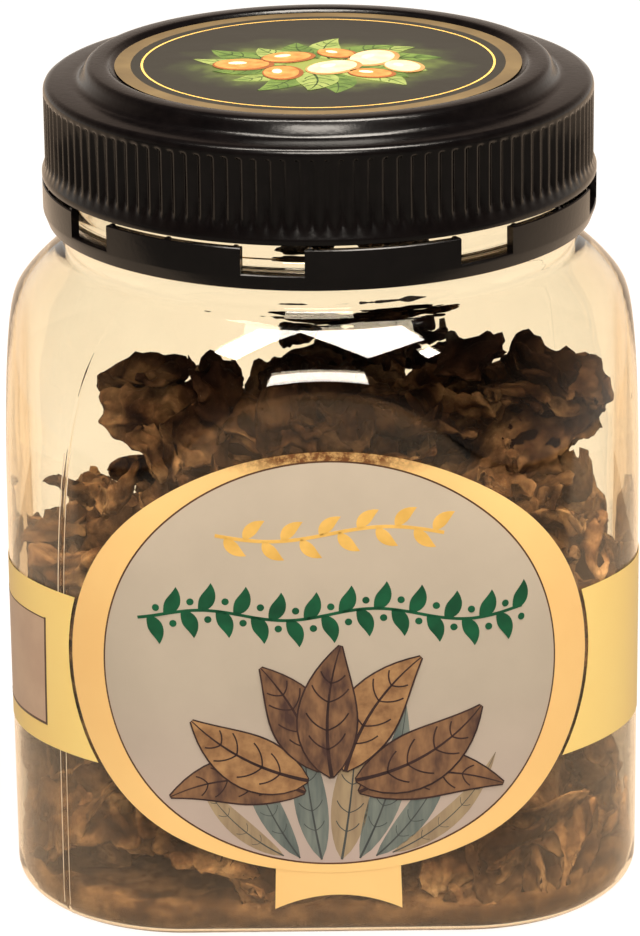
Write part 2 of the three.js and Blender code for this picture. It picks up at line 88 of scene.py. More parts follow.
# Heap of dried trumpets. Its skyline is (x, height) pairs at the middle of the jar, and it falls towards
# the back. A knob is a scrap that stands up from it: x, y, z, length and width.
SKYLINE = (
    (-45, 64), (-35, 66), (-27, 76), (-17, 75), (-10, 73), (-6, 82), (0, 86), (4, 84), (13, 86), (18, 81),
    (25, 77.5), (31, 77), (36, 79), (41, 78.5), (43, 70), (46, 60))
HEAP_FALL = 0.35
HEAP_CROWN = 88
CROWN_FALL = 0.005
BURIED_BELOW = 60
BURIED_DEPTH = 17
COVER_TRIALS = 310
COVER_SEED = 4
NOISE_SEED = 2
COVER_CELL = 4
SHRED_TRIALS = 105
SHRED_TOP = 84
LOBE_COUNT = 88
TRUMPET_GROWTH = 1.07
FUNNEL_REACH = 26
KNOBS = (
    (-28, -2, 74, 15, 6), (-16, -2, 73, 8, 7), (-4, 0, 82, 9, 7), (13, 0, 82.5, 10, 8), (35, 0, 73, 12, 9))

# Cap, band and sticker
CAP_TOP = 126.2
STICKER_RADIUS = 31.4
STICKER_FACE = 125.68

# Light: what the floor and the room show when looked at, and when seen in a reflection.
FLOOR_GLOW = 0.92
FLOOR_SEEN = (1, 0.99, 0.975)
FLOOR_MIRRORED = (0.93, 0.68, 0.47)
ROOM_SEEN = (1.0, 0.995, 0.985)
LAMP_COLOUR = (1, 0.92, 0.82)
LAMP_TARGET = (0, 0, 0.09)
LAMPS = (
    ("overhead_wide", (0.18, -0.16, 1.1), (0.36, 0.44), 16),
    ("overhead_block", (-0.225, -0.16, 1.1), (0.15, 0.6), 8),
    ("overhead_spot", (0.56, -0.32, 1.1), (0.09, 0.09), 1.5),
    ("front_window", (-0.03, -1.3, 1.25), (0.75, 0.5), 28.5),
)

# Plain inks: a darker and a lighter tone, then the size of the clouds between them and their stretch.
INKS = {
    "line": ((70, 42, 24), (92, 58, 34)),
    "gold_print": ((225, 178, 88), (246, 200, 108)),
    "green": ((0, 66, 40), (12, 92, 58)),
    "brown": ((74, 52, 46), (150, 112, 78), 2.2, (1, 1, 2.5)),
    "brown_dark": ((40, 26, 28), (66, 44, 40)),
    "tan": ((128, 92, 62), (176, 136, 92), 2.0),
    "grass": ((88, 98, 96), (124, 132, 124), 1.6, (1, 1, 6)),
    "grass_light": ((140, 120, 96), (170, 150, 118), 1.6, (1, 1, 6)),
    "grass_dark": ((56, 62, 64), (76, 80, 78)),
    "wrap": ((253, 217, 131), (255, 225, 141), 24),
    "panel": ((188, 158, 136), (204, 176, 150), 8),
    "lid_gold": ((92, 76, 50), (112, 94, 62), 8),
    "leaf": ((58, 84, 34), (104, 128, 58), 3),
    "leaf_light": ((104, 124, 60), (150, 162, 92), 3),
    "leaf_dark": ((40, 58, 26), (56, 76, 34)),
    "nut": ((176, 108, 50), (214, 146, 80), 2),
    "nut_dark": ((120, 66, 28), (146, 86, 40)),
    "cream": ((214, 188, 140), (236, 216, 172), 2),
    "cream_dark": ((160, 116, 66), (184, 140, 88)),
    # The seam ink is a painted highlight on the clear film's edges.
    "seam": ((214, 190, 160), (240, 222, 196)),
    "shine": ((236, 214, 168), (250, 232, 196)),
}


# Materials


def material(name):
    made = bpy.data.materials.new(name)
    made.use_nodes = True
    return made, made.node_tree, made.node_tree.nodes["Principled BSDF"]


def feed(tree, made, inputs):
    """Links or sets inputs of a node."""
    for key, value in inputs.items():
        if isinstance(value, bpy.types.NodeSocket):
            tree.links.new(value, made.inputs[key])
        else:
            made.inputs[key].default_value = value


def node(tree, kind, inputs=None, **settings):
    made = tree.nodes.new("ShaderNode" + kind)
    for key, value in settings.items():
        setattr(made, key, value)
    feed(tree, made, inputs or {})
    return made


def maths(tree, operation, *values):
    return node(tree, "Math", dict(enumerate(values)), operation=operation).outputs[0]


def rescale(tree, value, source=(0, 1), target=(0, 1)):
    ends = {"From Min": source[0], "From Max": source[1], "To Min": target[0], "To Max": target[1]}
    return node(tree, "MapRange", {"Value": value, **ends}).outputs[0]


def place(tree, stretch=(1, 1, 1)):
    """Object coordinates in millimetres, stretched along the axes."""
    where = node(tree, "TexCoord").outputs["Object"]
    scale = tuple(1000 / s for s in stretch)
    return node(tree, "Mapping", {"Vector": where, "Scale": scale}).outputs["Vector"]


def along_axis(tree, vector, axis):
    return node(tree, "SeparateXYZ", {"Vector": vector}).outputs[axis]


def away_from(tree, vector, centre, scale):
    """Distance from a centre, with a scale along each axis."""
    apart = node(tree, "VectorMath", {0: vector, 1: centre}, operation="SUBTRACT").outputs[0]
    scaled = node(tree, "VectorMath", {0: apart, 1: scale}, operation="MULTIPLY").outputs[0]
    return node(tree, "VectorMath", {0: scaled}, operation="LENGTH").outputs["Value"]


def noise_of(tree, vector, size, detail=4.0, roughness=0.55):
    inputs = {"Vector": vector, "Scale": 1 / size, "Detail": detail, "Roughness": roughness}
    return node(tree, "TexNoise", inputs).outputs["Fac"]


def ramp(tree, fac, stops):
    made = node(tree, "ValToRGB", {"Fac": fac})
    elements = made.color_ramp.elements
    while len(elements) < len(stops):
        elements.new(0.5)
    for element, (position, colour) in zip(elements, stops):
        element.position = position
        element.color = (*colour, 1)
    return made.outputs["Color"]


def grey(value):
    return (value, value, value)


def srgb(r, g, b):
    return tuple(((c / 255 + 0.055) / 1.055) ** 2.4 if c > 10 else c / 255 / 12.92 for c in (r, g, b))


def bump(tree, shader, height, distance):
    made = node(tree, "Bump", {"Height": height, "Distance": distance * MM, "Strength": 1.0})
    feed(tree, shader, {"Normal": made.outputs["Normal"]})


def mix_colour(tree, fac, a, b, blend="MIX"):
    first, second = (c if isinstance(c, bpy.types.NodeSocket) else (*c, 1) for c in (a, b))
    return node(tree, "Mix", {0: fac, 6: first, 7: second}, data_type="RGBA", blend_type=blend).outputs[2]


def times(tree, a, b):
    return mix_colour(tree, 1.0, a, b, "MULTIPLY")


def show_mix(tree, share, first, second):
    """Sends a mix of two shaders to the surface."""
    mixed = node(tree, "MixShader", {0: share, 1: first.outputs[0], 2: second.outputs[0]})
    feed(tree, tree.nodes["Material Output"], {"Surface": mixed.outputs[0]})


def clear_plastic():
    """Clear plastic with a faint warm tint, which shadow rays pass straight through."""
    made, tree, shader = material("clear_plastic")
    feed(tree, shader, {
        "Base Color": (0.99, 0.91, 0.75, 1), "Roughness": 0.015, "IOR": 1.45, "Transmission Weight": 1})
    bump(tree, shader, noise_of(tree, place(tree), 14, detail=1), 0.05)
    clear = node(tree, "BsdfTransparent", {"Color": (0.97, 0.90, 0.80, 1)})
    show_mix(tree, node(tree, "LightPath").outputs["Is Shadow Ray"], shader, clear)
    return made


def black_plastic():
    made, tree, shader = material("black_plastic")
    vector = place(tree)
    wear = noise_of(tree, vector, 3, detail=6, roughness=0.7)
    feed(tree, shader, {
        "Base Color": ramp(tree, wear, [(0.35, (0.0012, 0.0009, 0.0011)), (0.8, (0.004, 0.003, 0.003))]),
        "Roughness": rescale(tree, noise_of(tree, vector, 9, detail=3), target=(0.14, 0.28)),
        "IOR": 1.36})
    bump(tree, shader, noise_of(tree, vector, 0.7, detail=2), 0.02)
    return made


def foam():
    made, tree, shader = material("liner_foam")
    cells = node(tree, "TexVoronoi", {"Vector": place(tree), "Scale": 2.5}).outputs["Distance"]
    feed(tree, shader, {
        "Base Color": ramp(tree, cells, [(0.1, (0.74, 0.72, 0.68)), (0.5, (0.86, 0.85, 0.81))]),
        "Roughness": 0.85})
    bump(tree, shader, cells, 0.06)
    return made


def film_waves(tree, shader, vector):
    """Faint waviness of a printed film."""
    bump(tree, shader, noise_of(tree, vector, 5, detail=2), 0.03)


def print_ink(name, dark, light, size=4.0, stretch=(1, 1, 1)):
    """One printed ink with a cloudy change of tone."""
    made, tree, shader = material(name + "_ink")
    vector = place(tree, stretch)
    tone = ramp(tree, noise_of(tree, vector, size, detail=3), [(0.3, srgb(*dark)), (0.7, srgb(*light))])
    feed(tree, shader, {"Base Color": tone, "Roughness": 0.42})
    film_waves(tree, shader, vector)
    return made, tree, shader, tone


def gold_ink():
    """Gold border, with painted shade at the top of the ring: darker and mottled there."""
    made, tree, shader, tone = print_ink("gold", (248, 202, 131), (252, 210, 139), 20)
    # Painted shade: the top of the ring turns dark brown, broken up by mottle.
    top = away_from(tree, place(tree), (1, 0, 79.6), (0.046, 0, 0.2))
    shade = ramp(tree, top, [(0.5, grey(1)), (1.0, grey(0))])
    mottle = noise_of(tree, place(tree), 1.4, detail=5, roughness=0.7)
    painted_shade_mask = times(tree, shade, ramp(tree, mottle, [(0.36, grey(0.3)), (0.56, grey(1))]))
    feed(tree, shader, {"Base Color": mix_colour(tree, painted_shade_mask, tone, srgb(112, 68, 30))})
    return made


def field_ink():
    """Pale field of the oval: pinkish grey at its foot, lighter and warmer towards the top."""
    made, tree, shader = material("field_ink")
    vector = place(tree)
    height = rescale(tree, along_axis(tree, vector, "Z"), (12, 78))
    tone = ramp(tree, height, [
        (0, srgb(188, 169, 160)), (0.45, srgb(190, 178, 161)), (1, srgb(204, 191, 172))])
    cloud = ramp(tree, noise_of(tree, vector, 9, detail=5), [(0.3, grey(0.93)), (0.7, grey(1))])
    feed(tree, shader, {"Base Color": times(tree, tone, cloud), "Roughness": 0.4})
    film_waves(tree, shader, vector)
    return made


def lid_field_ink():
    """Dark green field of the lid sticker, with a pale green glow round its middle."""
    made, tree, shader = material("lid_field_ink")
    vector = place(tree)
    reach = away_from(tree, vector, (0.5, -2, 125.7), (0.031, 0.044, 0))
    blurred = maths(tree, "MULTIPLY_ADD", noise_of(tree, vector, 5, detail=4), 0.5, reach)
    tone = ramp(tree, blurred, [
        (0.4, srgb(128, 138, 66)), (0.7, srgb(84, 98, 44)), (0.85, srgb(44, 50, 28)),
        (1.0, srgb(26, 26, 18))])
    feed(tree, shader, {"Base Color": tone, "Roughness": 0.35})
    film_waves(tree, shader, vector)
    return made


def film_plastic():
    """Clear label film: a faint warm haze over what is behind it."""
    made, tree, shader = material("label_film_clear")
    feed(tree, shader, {"Base Color": (0.62, 0.35, 0.17, 1), "Roughness": 0.3})
    haze = rescale(tree, noise_of(tree, place(tree), 11, detail=4), (0.3, 0.7), (0.006, 0.03))
    show_mix(tree, haze, node(tree, "BsdfTransparent"), shader)
    return made


def trumpet_skin():
    """Dried trumpet: blotched brown and tan outside; near black inside the funnel, partly its own dark inner
    side and partly painted shade in its folds; near black high up in the heap as painted shade; darker in its
    furrows as painted shade and lighter on its crests as a painted highlight.
    """
    made, tree, shader = material("dried_mushroom")
    vector = place(tree)
    inner, tint, crest = (
        node(tree, "Attribute", attribute_name=name).outputs["Fac"] for name in ("inner", "tint", "crest"))
    blotch = noise_of(tree, vector, 7, detail=6, roughness=0.6)
    fine = noise_of(tree, vector, 1.3, detail=3, roughness=0.6)
    base = ramp(tree, blotch, [
        (0.34, (0.026, 0.011, 0.006)), (0.45, (0.115, 0.058, 0.027)), (0.56, (0.28, 0.165, 0.085)),
        (0.70, (0.50, 0.33, 0.18))])
    inside = ramp(tree, blotch, [(0.35, (0.0045, 0.0018, 0.0015)), (0.75, (0.02, 0.009, 0.006))])
    # Painted shade: the colour goes near black towards the top of the heap.
    high = rescale(tree, along_axis(tree, vector, "Z"), (57, 80), (0, 0.96))
    # The inside colour is mixed in for the funnel's own dark inner side (painted shade where the inner share
    # also catches folds), for a darker tint on some pieces, and for the painted shade high up.
    for share in (inner, tint, high):
        base = mix_colour(tree, share, base, inside)
    # Painted shade in the furrows and painted highlight on the crests.
    base = times(tree, base, rescale(tree, crest, target=(0.25, 1.75)))
    feed(tree, shader, {
        "Base Color": times(tree, base, ramp(tree, fine, [(0.3, grey(0.5)), (0.7, grey(1))])),
        "Roughness": rescale(tree, fine, target=(0.5, 0.85)),
        "IOR": 1.09})
    bump(tree, shader, fine, 0.2)
    return made


def dust_skin():
    """Brown powder and crumbs."""
    made, tree, shader = material("dried_dust")
    grain = noise_of(tree, place(tree), 5, detail=8, roughness=0.6)
    tone = ramp(tree, grain, [
        (0.36, (0.012, 0.006, 0.003)), (0.5, (0.05, 0.027, 0.013)), (0.64, (0.13, 0.078, 0.04))])
    feed(tree, shader, {"Base Color": tone, "Roughness": 0.9, "IOR": 1.09})
    bump(tree, shader, grain, 0.5)
    return made


# Meshes


def add_object(name, data):
    made = bpy.data.objects.new(name, data)
    bpy.context.scene.collection.objects.link(made)
    return made


def add_mesh(name, points, faces, materials, face_materials=None):
    """Smooth mesh from points in millimetres."""
    mesh = bpy.data.meshes.new(name)
    mesh.from_pydata((np.asarray(points, float) * MM).tolist(), [], faces)
    for entry in materials:
        mesh.materials.append(entry)
    if face_materials is not None:
        mesh.polygons.foreach_set("material_index", face_materials)
    mesh.polygons.foreach_set("use_smooth", [True] * len(mesh.polygons))
    mesh.validate()
    return add_object(name, mesh)


def apply_modifiers(piece):
    bpy.context.view_layer.update()
    evaluated = piece.evaluated_get(bpy.context.evaluated_depsgraph_get())
    mesh = bpy.data.meshes.new_from_object(evaluated)
    piece.modifiers.clear()
    old = piece.data
    piece.data = mesh
    bpy.data.meshes.remove(old)


@contextmanager
def editing(mesh):
    edit = bmesh.new()
    edit.from_mesh(mesh)
    yield edit
    edit.to_mesh(mesh)
    edit.free()


def solid(name, points, faces, look):
    """Mesh of one material with its faces turned outward."""
    piece = add_mesh(name, points, faces, [look])
    with editing(piece.data) as edit:
        bmesh.ops.recalc_face_normals(edit, faces=edit.faces)
    return piece


def sharpen(piece, degrees):
    """Smooth shading that keeps the edges sharper than an angle."""
    limit = math.radians(degrees)
    with editing(piece.data) as edit:
        for edge in edit.edges:
            edge.smooth = len(edge.link_faces) == 2 and edge.calc_face_angle(0) < limit


def dress(piece, body, slot, *nodes):
    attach(piece, body)
    if nodes:
        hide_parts(*nodes)
    return piece


def rings_mesh(rings, close_rows=False):
    """Faces over rings of equal counts, and a fan where a ring is one point."""
    points, starts = [], []
    for ring in rings:
        starts.append(len(points))
        points.extend(ring)
    faces = []
    pairs = len(rings) if close_rows else len(rings) - 1
    for k in range(pairs):
        m = (k + 1) % len(rings)
        low, high = len(rings[k]), len(rings[m])
        count = max(low, high)
        for i in range(count):
            j = (i + 1) % count
            a, b = starts[k] + i % low, starts[k] + j % low
            c, d = starts[m] + j % high, starts[m] + i % high
            faces.append(tuple(dict.fromkeys((a, b, c, d))))
    return points, faces


def polar(radius, angle, z):
    return (radius * math.cos(angle), radius * math.sin(angle), z)


def soft_minimum(a, b, power):
    return (a ** -power + b ** -power) ** (-1 / power)


def square_radius(angle, half, corner):
    c, s = abs(math.cos(angle)), abs(math.sin(angle))
    straight = half - corner
    flat = half / max(c, s)
    if min(c, s) * flat <= straight:
        return flat
    b = straight * (c + s)
    return b + math.sqrt(b * b - 2 * straight * straight + corner * corner)


def shoulder_radius(z):
    cone = SHOULDER_RADIUS + (SHOULDER_TOP - z) / SHOULDER_SLOPE
    return soft_minimum(cone, CORNER_REACH, SHOULDER_SOFTNESS)


def inset_radius(angle, width):
    """Outline of the jar, drawn in by a width."""
    return square_radius(angle, JAR_HALF - width, max(JAR_CORNER - width, 1))


def jar_radius(angle, z):
    below = max(JAR_ROUNDING - z, 0)
    tuck = JAR_ROUNDING - math.sqrt(JAR_ROUNDING ** 2 - below ** 2)
    prism = square_radius(angle, JAR_HALF - tuck, JAR_CORNER - tuck)
    return soft_minimum(prism, shoulder_radius(z), CREASE_SHARPNESS)


def on_jar(along, z, standoff):
    """Point on the jar at a length along its outline from the middle of the front, towards +X."""
    side = -1 if along < 0 else 1
    left = abs(along)
    x, y = left, -JAR_HALF
    if left > JAR_STRAIGHT:
        left -= JAR_STRAIGHT
        turn = int(left // SIDE_LENGTH)
        left -= turn * SIDE_LENGTH
        bend = min(left, CORNER_LENGTH) / JAR_CORNER
        past = max(left - CORNER_LENGTH, 0)
        x = JAR_STRAIGHT + JAR_CORNER * math.sin(bend) + past * math.cos(bend)
        y = -JAR_STRAIGHT - JAR_CORNER * math.cos(bend) + past * math.sin(bend)
        c, s = math.cos(turn * math.pi / 2), math.sin(turn * math.pi / 2)
        x, y = c * x - s * y, s * x + c * y
    angle = math.atan2(y, side * x)
    return polar(jar_radius(angle, z) + standoff, angle, z)


# Jar


def build_jar():
    degrees = {round(1.5 * i, 4) for i in range(240)}
    for line in PARTING_ANGLES:
        degrees |= {round(line + PARTING_WIDTH * step, 4) for step in (-3, -1.6, -1, 0, 1, 1.6, 3)}
    angles = [math.radians(d) for d in sorted(degrees)]
    lines = [math.radians(line) for line in PARTING_ANGLES]

    def ridge(angle):
        apart = min(abs(angle - line) for line in lines)
        return PARTING_HEIGHT if apart < math.radians(1.1 * PARTING_WIDTH) else 0.0

    def outside(z):
        return [polar(jar_radius(a, z) + ridge(a), a, z) for a in angles]

    def inside(z):
        return [polar(jar_radius(a, z) - JAR_WALL, a, z) for a in angles]

    def inset(z, width):
        return [polar(inset_radius(a, width), a, z) for a in angles]

    rounding = [JAR_ROUNDING * (1 - math.cos(math.radians(a))) for a in range(10, 91, 10)]
    walls = list(np.linspace(6, 46, 14)) + list(np.linspace(47.2, 97.2, 44))
    base_outside = ((3.5, 22), (3.4, 15.5), (2.4, 12.6), (0.9, 10.6), (0.15, 9.3), (0, 8.4), (0, 5))
    base_inside = (
        (0.75, 2.2), (0.5, 3.6), (0.5, 5), (0.5, 8.4), (0.75, 9.3), (1.55, 10.5), (2.95, 12.4), (3.95, 15.3),
        (4.05, 22))
    neck = (
        (39.8, 97.6), (39.58, 98.1), (NECK_RADIUS, 98.8), (NECK_RADIUS, 103.8), (40.5, 104.2), (41, 104.7),
        (41, 105.6), (40.5, 106.1), (NECK_RADIUS, 106.5), (NECK_RADIUS, 120.2), (39.38, 120.48),
        (39.1, NECK_TOP), (38, NECK_TOP), (37.72, 120.48), (NECK_INNER, 120.2), (NECK_INNER, 106.4),
        (37.9, 105.4), (38.6, 104.2), (38.95, 103.2), (38.95, 98.8), (39.03, 98.0))
    rings = [
        [(0, 0, 3.5)], *[inset(z, width) for z, width in base_outside],
        *[outside(z) for z in (*rounding, *walls)],
        *[[polar(radius, a, z) for a in angles] for radius, z in neck],
        *[inside(z) for z in (*[z for z in reversed(walls) if z < 97], 3.5, 2.2, 1.3)],
        *[inset(z, width) for z, width in base_inside], [(0, 0, 4.05)],
    ]
    piece = solid("jar_clear", *with_thread(*rings_mesh(rings)), clear_plastic())
    return dress(piece, "jar", "clear_plastic", "jar")


def with_thread(points, faces):
    """Adds the thread of one and a quarter turns as a rounded ridge sunk in the neck."""
    steps, turns, pitch, foot, sink = 120, 1.25, 5.0, 110.3, 0.3
    section = (
        (-sink, -1.0), (0.35, -0.85), (0.95, -0.5), (1.18, 0.0), (0.95, 0.5), (0.35, 0.85), (-sink, 1.0))
    rows = []
    for i in range(steps + 1):
        part = i / steps
        angle = math.radians(-90) + 2 * math.pi * turns * part
        fade = min(1, 12 * part, 12 * (1 - part)) ** 0.5
        z = foot + pitch * turns * part
        rows.append([polar(NECK_RADIUS - sink + (r + sink) * fade, angle, z + h * fade) for r, h in section])
    first, last = np.mean(rows[0], axis=0), np.mean(rows[-1], axis=0)
    more, sides = rings_mesh([[tuple(first)], *rows, [tuple(last)]])
    start = len(points)
    return points + more, faces + [tuple(start + i for i in face) for face in sides]


# Cap, liner and tamper band


def turned(profile, count, radius_at=None):
    """Rings of a profile of (radius, z). radius_at(radius, z, i) may change a radius at column i."""
    rings = []
    for radius, z in profile:
        if radius == 0:
            rings.append([(0, 0, z)])
            continue
        radii = [radius_at(radius, z, i) if radius_at else radius for i in range(count)]
        rings.append([polar(r, 2 * math.pi * i / count, z) for i, r in enumerate(radii)])
    return rings


def build_cap(plastic):
    ribs, rib_foot, rib_top = 120, 110.9, 122
    rib_depths = (0.0, 0.12, 0.5, 0.62, 0.5, 0.12)

    def ribbed(radius, z, i):
        depth = min((z - rib_foot) / 1.6, (rib_top - z) / 0.5, 1)
        if depth > 0 and radius > 42:
            return radius - depth * rib_depths[i % len(rib_depths)]
        return radius

    outer = [
        (0, 125.5), (20, 125.5), (31.6, 125.5), (32.05, 125.62), (32.3, 125.95), (32.6, 126.14),
        (33.1, CAP_TOP), (35.0, CAP_TOP), (35.55, 126.08), (35.9, 125.75), (36.25, 125.1), (36.75, 124.25),
        (37.1, 123.8), (37.5, 123.62), (38.2, 123.58), (41.3, 123.52), (41.9, 123.4), (42.25, 123.12),
        (42.45, 122.7), (42.5, 122.3), (42.5, 121.95), (42.5, 121.5), (42.5, 116.5), (42.5, 112.5),
        (42.5, 111.6), (42.55, 110.9), (42.9, 110.0), (43, 109.7), (43, 109.1), (42.9, 108.95),
        (42.75, 108.9),
    ]
    inner = [
        (41.35, 108.9), (41.2, 109.05), (41.2, 121.7), (41.0, 122.1), (40.6, 122.3), (36.1, 122.3),
        (35.7, 122.5), (34.7, 124.0), (34.3, 124.2), (0, 124.2),
    ]
    rings = turned(outer + inner, ribs * len(rib_depths), ribbed)
    piece = solid("cap_shell", *rings_mesh(rings), plastic)
    sharpen(piece, 40)
    return dress(piece, "cap", "black_plastic", "screw_cap")


def build_liner():
    profile = [
        (0, 121), (39.9, 121), (40.2, 121.1), (40.3, 121.3), (40.3, 121.7), (40.2, 121.9), (39.9, 122),
        (0, 122)]
    piece = solid("liner_disc", *rings_mesh(turned(profile, 160)), foam())
    return dress(piece, "liner", "liner_foam", "cap_liner")


def build_band(plastic):
    windows, first, width, depth, top = 8, -9.5, 9.5, 4.0, 108.3
    bridges, bridge_radius = 24, 42.35
    pitch = 360 / windows
    half = math.degrees(math.asin(width / 2 / bridge_radius))
    profile = [
        (42.0, 101.8), (42.3, 101.95), (42.95, 103.7), (43.0, 103.95), (43.0, None), (42.85, "top"),
        (41.85, "top"), (41.7, None), (41.7, 104.1), (40.3, 103.55), (40.2, 103.4), (40.2, 102.8),
        (40.35, 102.7), (41.3, 101.9), (41.5, 101.8),
    ]

    def column(degrees, height):
        """Section of the band with its top edge at a height: None is the foot of the edge's rounding."""
        levels = {"top": height, None: height - 0.15}
        return [polar(radius, math.radians(degrees - 90), levels.get(z, z)) for radius, z in profile]

    columns = []
    for k in range(windows):
        centre = first + pitch * k
        columns += [column(d, top - depth) for d in np.linspace(centre - half, centre + half, 9)]
        columns += [column(d, top) for d in np.linspace(centre + half, centre + pitch - half, 19)]
    points, faces = rings_mesh(columns, close_rows=True)
    for i in range(bridges):
        angle = math.radians(first + 360 / bridges * (i + 0.5) - 90)
        u, v = Vector(polar(1, angle, 0)), Vector((-math.sin(angle), math.cos(angle), 0))
        start = len(points)
        for z, grow in ((107.9, 1.0), (108.35, 0.85), (108.6, 0.55)):
            for a, b in ((-0.4, -0.45), (0.4, -0.45), (0.4, 0.45), (-0.4, 0.45)):
                p = u * (bridge_radius + a * grow) + v * (b * grow)
                points.append((p.x, p.y, z))
        for level in (start, start + 4):
            for a in range(4):
                b = (a + 1) % 4
                faces.append((level + a, level + b, level + 4 + b, level + 4 + a))
        faces.append((start, start + 3, start + 2, start + 1))
        faces.append((start + 8, start + 9, start + 10, start + 11))
    piece = add_mesh("band_ring", points, faces, [plastic])
    with editing(piece.data) as edit:
        bmesh.ops.remove_doubles(edit, verts=edit.verts, dist=1e-6)
        bmesh.ops.dissolve_degenerate(edit, edges=edit.edges, dist=1e-6)
        bmesh.ops.recalc_face_normals(edit, faces=edit.faces)
    sharpen(piece, 30)
    return dress(piece, "jar", "black_plastic", "tamper_band")


# Labels and print


class Sheet:
    """Print on a surface: regions and strokes by a map from (u, v, standoff) to a point."""

    def __init__(self, name, surface, standoff):
        self.name = name
        self.surface = surface
        self.standoff = standoff
        self.points = []
        self.faces = []
        self.indices = []
        self.materials = []

    def index(self, ink):
        if ink not in self.materials:
            self.materials.append(ink)
        return self.materials.index(ink)

    def grid(self, rows, ink, layer=0, closed=False):
        """Rows of (u, v) of equal length, skinned."""
        start, width = len(self.points), len(rows[0])
        lift = self.standoff + layer * PRINT_STEP
        for row in rows:
            self.points.extend(self.surface(u, v, lift) for u, v in row)
        for r in range(len(rows) - 1):
            for c in range(width if closed else width - 1):
                d = (c + 1) % width
                a = start + r * width
                b = a + width
                self.faces.append((a + c, a + d, b + d, b + c))
                self.indices.append(self.index(ink))

    def stroke(self, path, half_width, ink, layer=1):
        """Ribbon along a path of (u, v). half_width is a number or a function of the part from 0 to 1."""
        rows = []
        for i, (u, v) in enumerate(path):
            before, after = path[max(i - 1, 0)], path[min(i + 1, len(path) - 1)]
            du, dv = after[0] - before[0], after[1] - before[1]
            length = math.hypot(du, dv) or 1
            part = i / (len(path) - 1)
            half = half_width(part) if callable(half_width) else half_width
            n = (-dv / length * half, du / length * half)
            rows.append([(u + n[0] * k, v + n[1] * k) for k in (-1, -0.5, 0, 0.5, 1)])
        self.grid(rows, ink, layer)

    def leaf(self, root, tip, width, ink, vein=None, layer=1, bow=0.12, outline=0):
        """Pointed leaf from root to tip, bowed to one side, with a midrib and side veins."""
        path = bowed(root, tip, bow)

        def half(t):
            return width * max(math.sin(math.pi * t ** 0.8), 0.015) ** 0.9

        if outline:
            self.stroke(path, lambda t: outline + half(t), vein, layer)
            layer += 1
        self.stroke(path, half, ink, layer)
        if vein is None:
            return
        self.stroke(path, lambda t: 0.05 * width * (1.4 - t), vein, layer + 1)
        for part in (0.25, 0.42, 0.6, 0.76):
            i = int(part * (len(path) - 1))
            u, v = path[i]
            du, dv = path[i + 1][0] - u, path[i + 1][1] - v
            length = math.hypot(du, dv)
            du, dv = du / length, dv / length
            reach = 0.72 * width * math.sin(math.pi * part ** 0.8)
            for side in (-1, 1):
                end = (u + du * reach * 0.9 - side * dv * reach, v + dv * reach * 0.9 + side * du * reach)
                self.stroke(bowed((u, v), end, 0.1 * side), 0.028 * width, vein, layer + 1)

    def disc(self, centre, radius, ink, layer=1, flat=1.0, turn=0.0):
        rows = []
        for k in range(5):
            r = radius * k / 4 + 0.001
            row = []
            for i in range(28):
                a = 2 * math.pi * i / 28
                u, v = r * math.cos(a), flat * r * math.sin(a)
                row.append((
                    centre[0] + u * math.cos(turn) - v * math.sin(turn),
                    centre[1] + u * math.sin(turn) + v * math.cos(turn)))
            rows.append(row)
        self.grid(rows, ink, layer, closed=True)

    def build(self):
        piece = add_mesh(self.name, self.points, self.faces, self.materials, self.indices)
        with editing(piece.data) as edit:
            bmesh.ops.remove_doubles(edit, verts=edit.verts, dist=2e-7)
        solidify = piece.modifiers.new("thickness", "SOLIDIFY")
        solidify.thickness = PRINT_THICKNESS * MM
        solidify.offset = -1
        apply_modifiers(piece)
        sharpen(piece, 30)
        return piece


def bowed(start, end, bow):
    """Points on a shallow arc from start to end."""
    steps = 14
    du, dv = end[0] - start[0], end[1] - start[1]
    made = []
    for i in range(steps + 1):
        t = i / steps
        lift = bow * 4 * t * (1 - t)
        made.append((start[0] + du * t - dv * lift, start[1] + dv * t + du * lift))
    return made


def ellipse(width, height, centre, count):
    turns = [2 * math.pi * i / count for i in range(count)]
    return [(centre[0] + width * math.cos(a), centre[1] + height * math.sin(a)) for a in turns]


def oval(width, height):
    return ellipse(width, height, (LABEL_SHIFT, OVAL_CENTRE), 160)


def build_front_label(inks):
    sheet = Sheet("label_front", on_jar, LABEL_GAP)
    levels = (0.002, 0.12, 0.25, 0.38, 0.5, 0.62, 0.72, 0.82, 0.91, 1.0)
    sheet.grid([oval(FIELD_WIDTH * k, FIELD_HEIGHT * k) for k in levels], inks["field"], closed=True)
    line = 0.28
    width, height = FIELD_WIDTH + line, FIELD_HEIGHT + line
    sheet.grid([oval(FIELD_WIDTH, FIELD_HEIGHT), oval(width, height)], inks["line"], closed=True)
    grow = (OVAL_WIDTH - FIELD_WIDTH - line, OVAL_HEIGHT - FIELD_HEIGHT - line)
    border = [oval(width + grow[0] * t, height + grow[1] * t) for t in np.linspace(0, 1, 5)]
    sheet.grid(border, inks["gold"], closed=True)
    half, foot, notch, tab_shift = 9.5, 5.2, 7.5, 0.85
    rows = []
    for t in np.linspace(0, 1, 6):
        row = []
        for s in np.linspace(-1, 1, 21):
            flare = half * (1 + 0.02 * (1 - t))
            along = LABEL_SHIFT + tab_shift + s * flare
            low = notch - (notch - foot) * s * s
            high = OVAL_CENTRE - OVAL_HEIGHT * math.sqrt(1 - (half * s / OVAL_WIDTH) ** 2) + 0.2
            row.append((along, low + (high - low) * t))
        rows.append(row)
    sheet.grid(rows, inks["gold"], layer=-1)
    draw_front(sheet, inks)
    return dress(sheet.build(), "jar", "label_film", "front_label")


def wave(middle, height, length):
    """Waved line across the label: the point on it at x."""
    return lambda x: (LABEL_SHIFT + x, middle + height * math.sin(x / length))


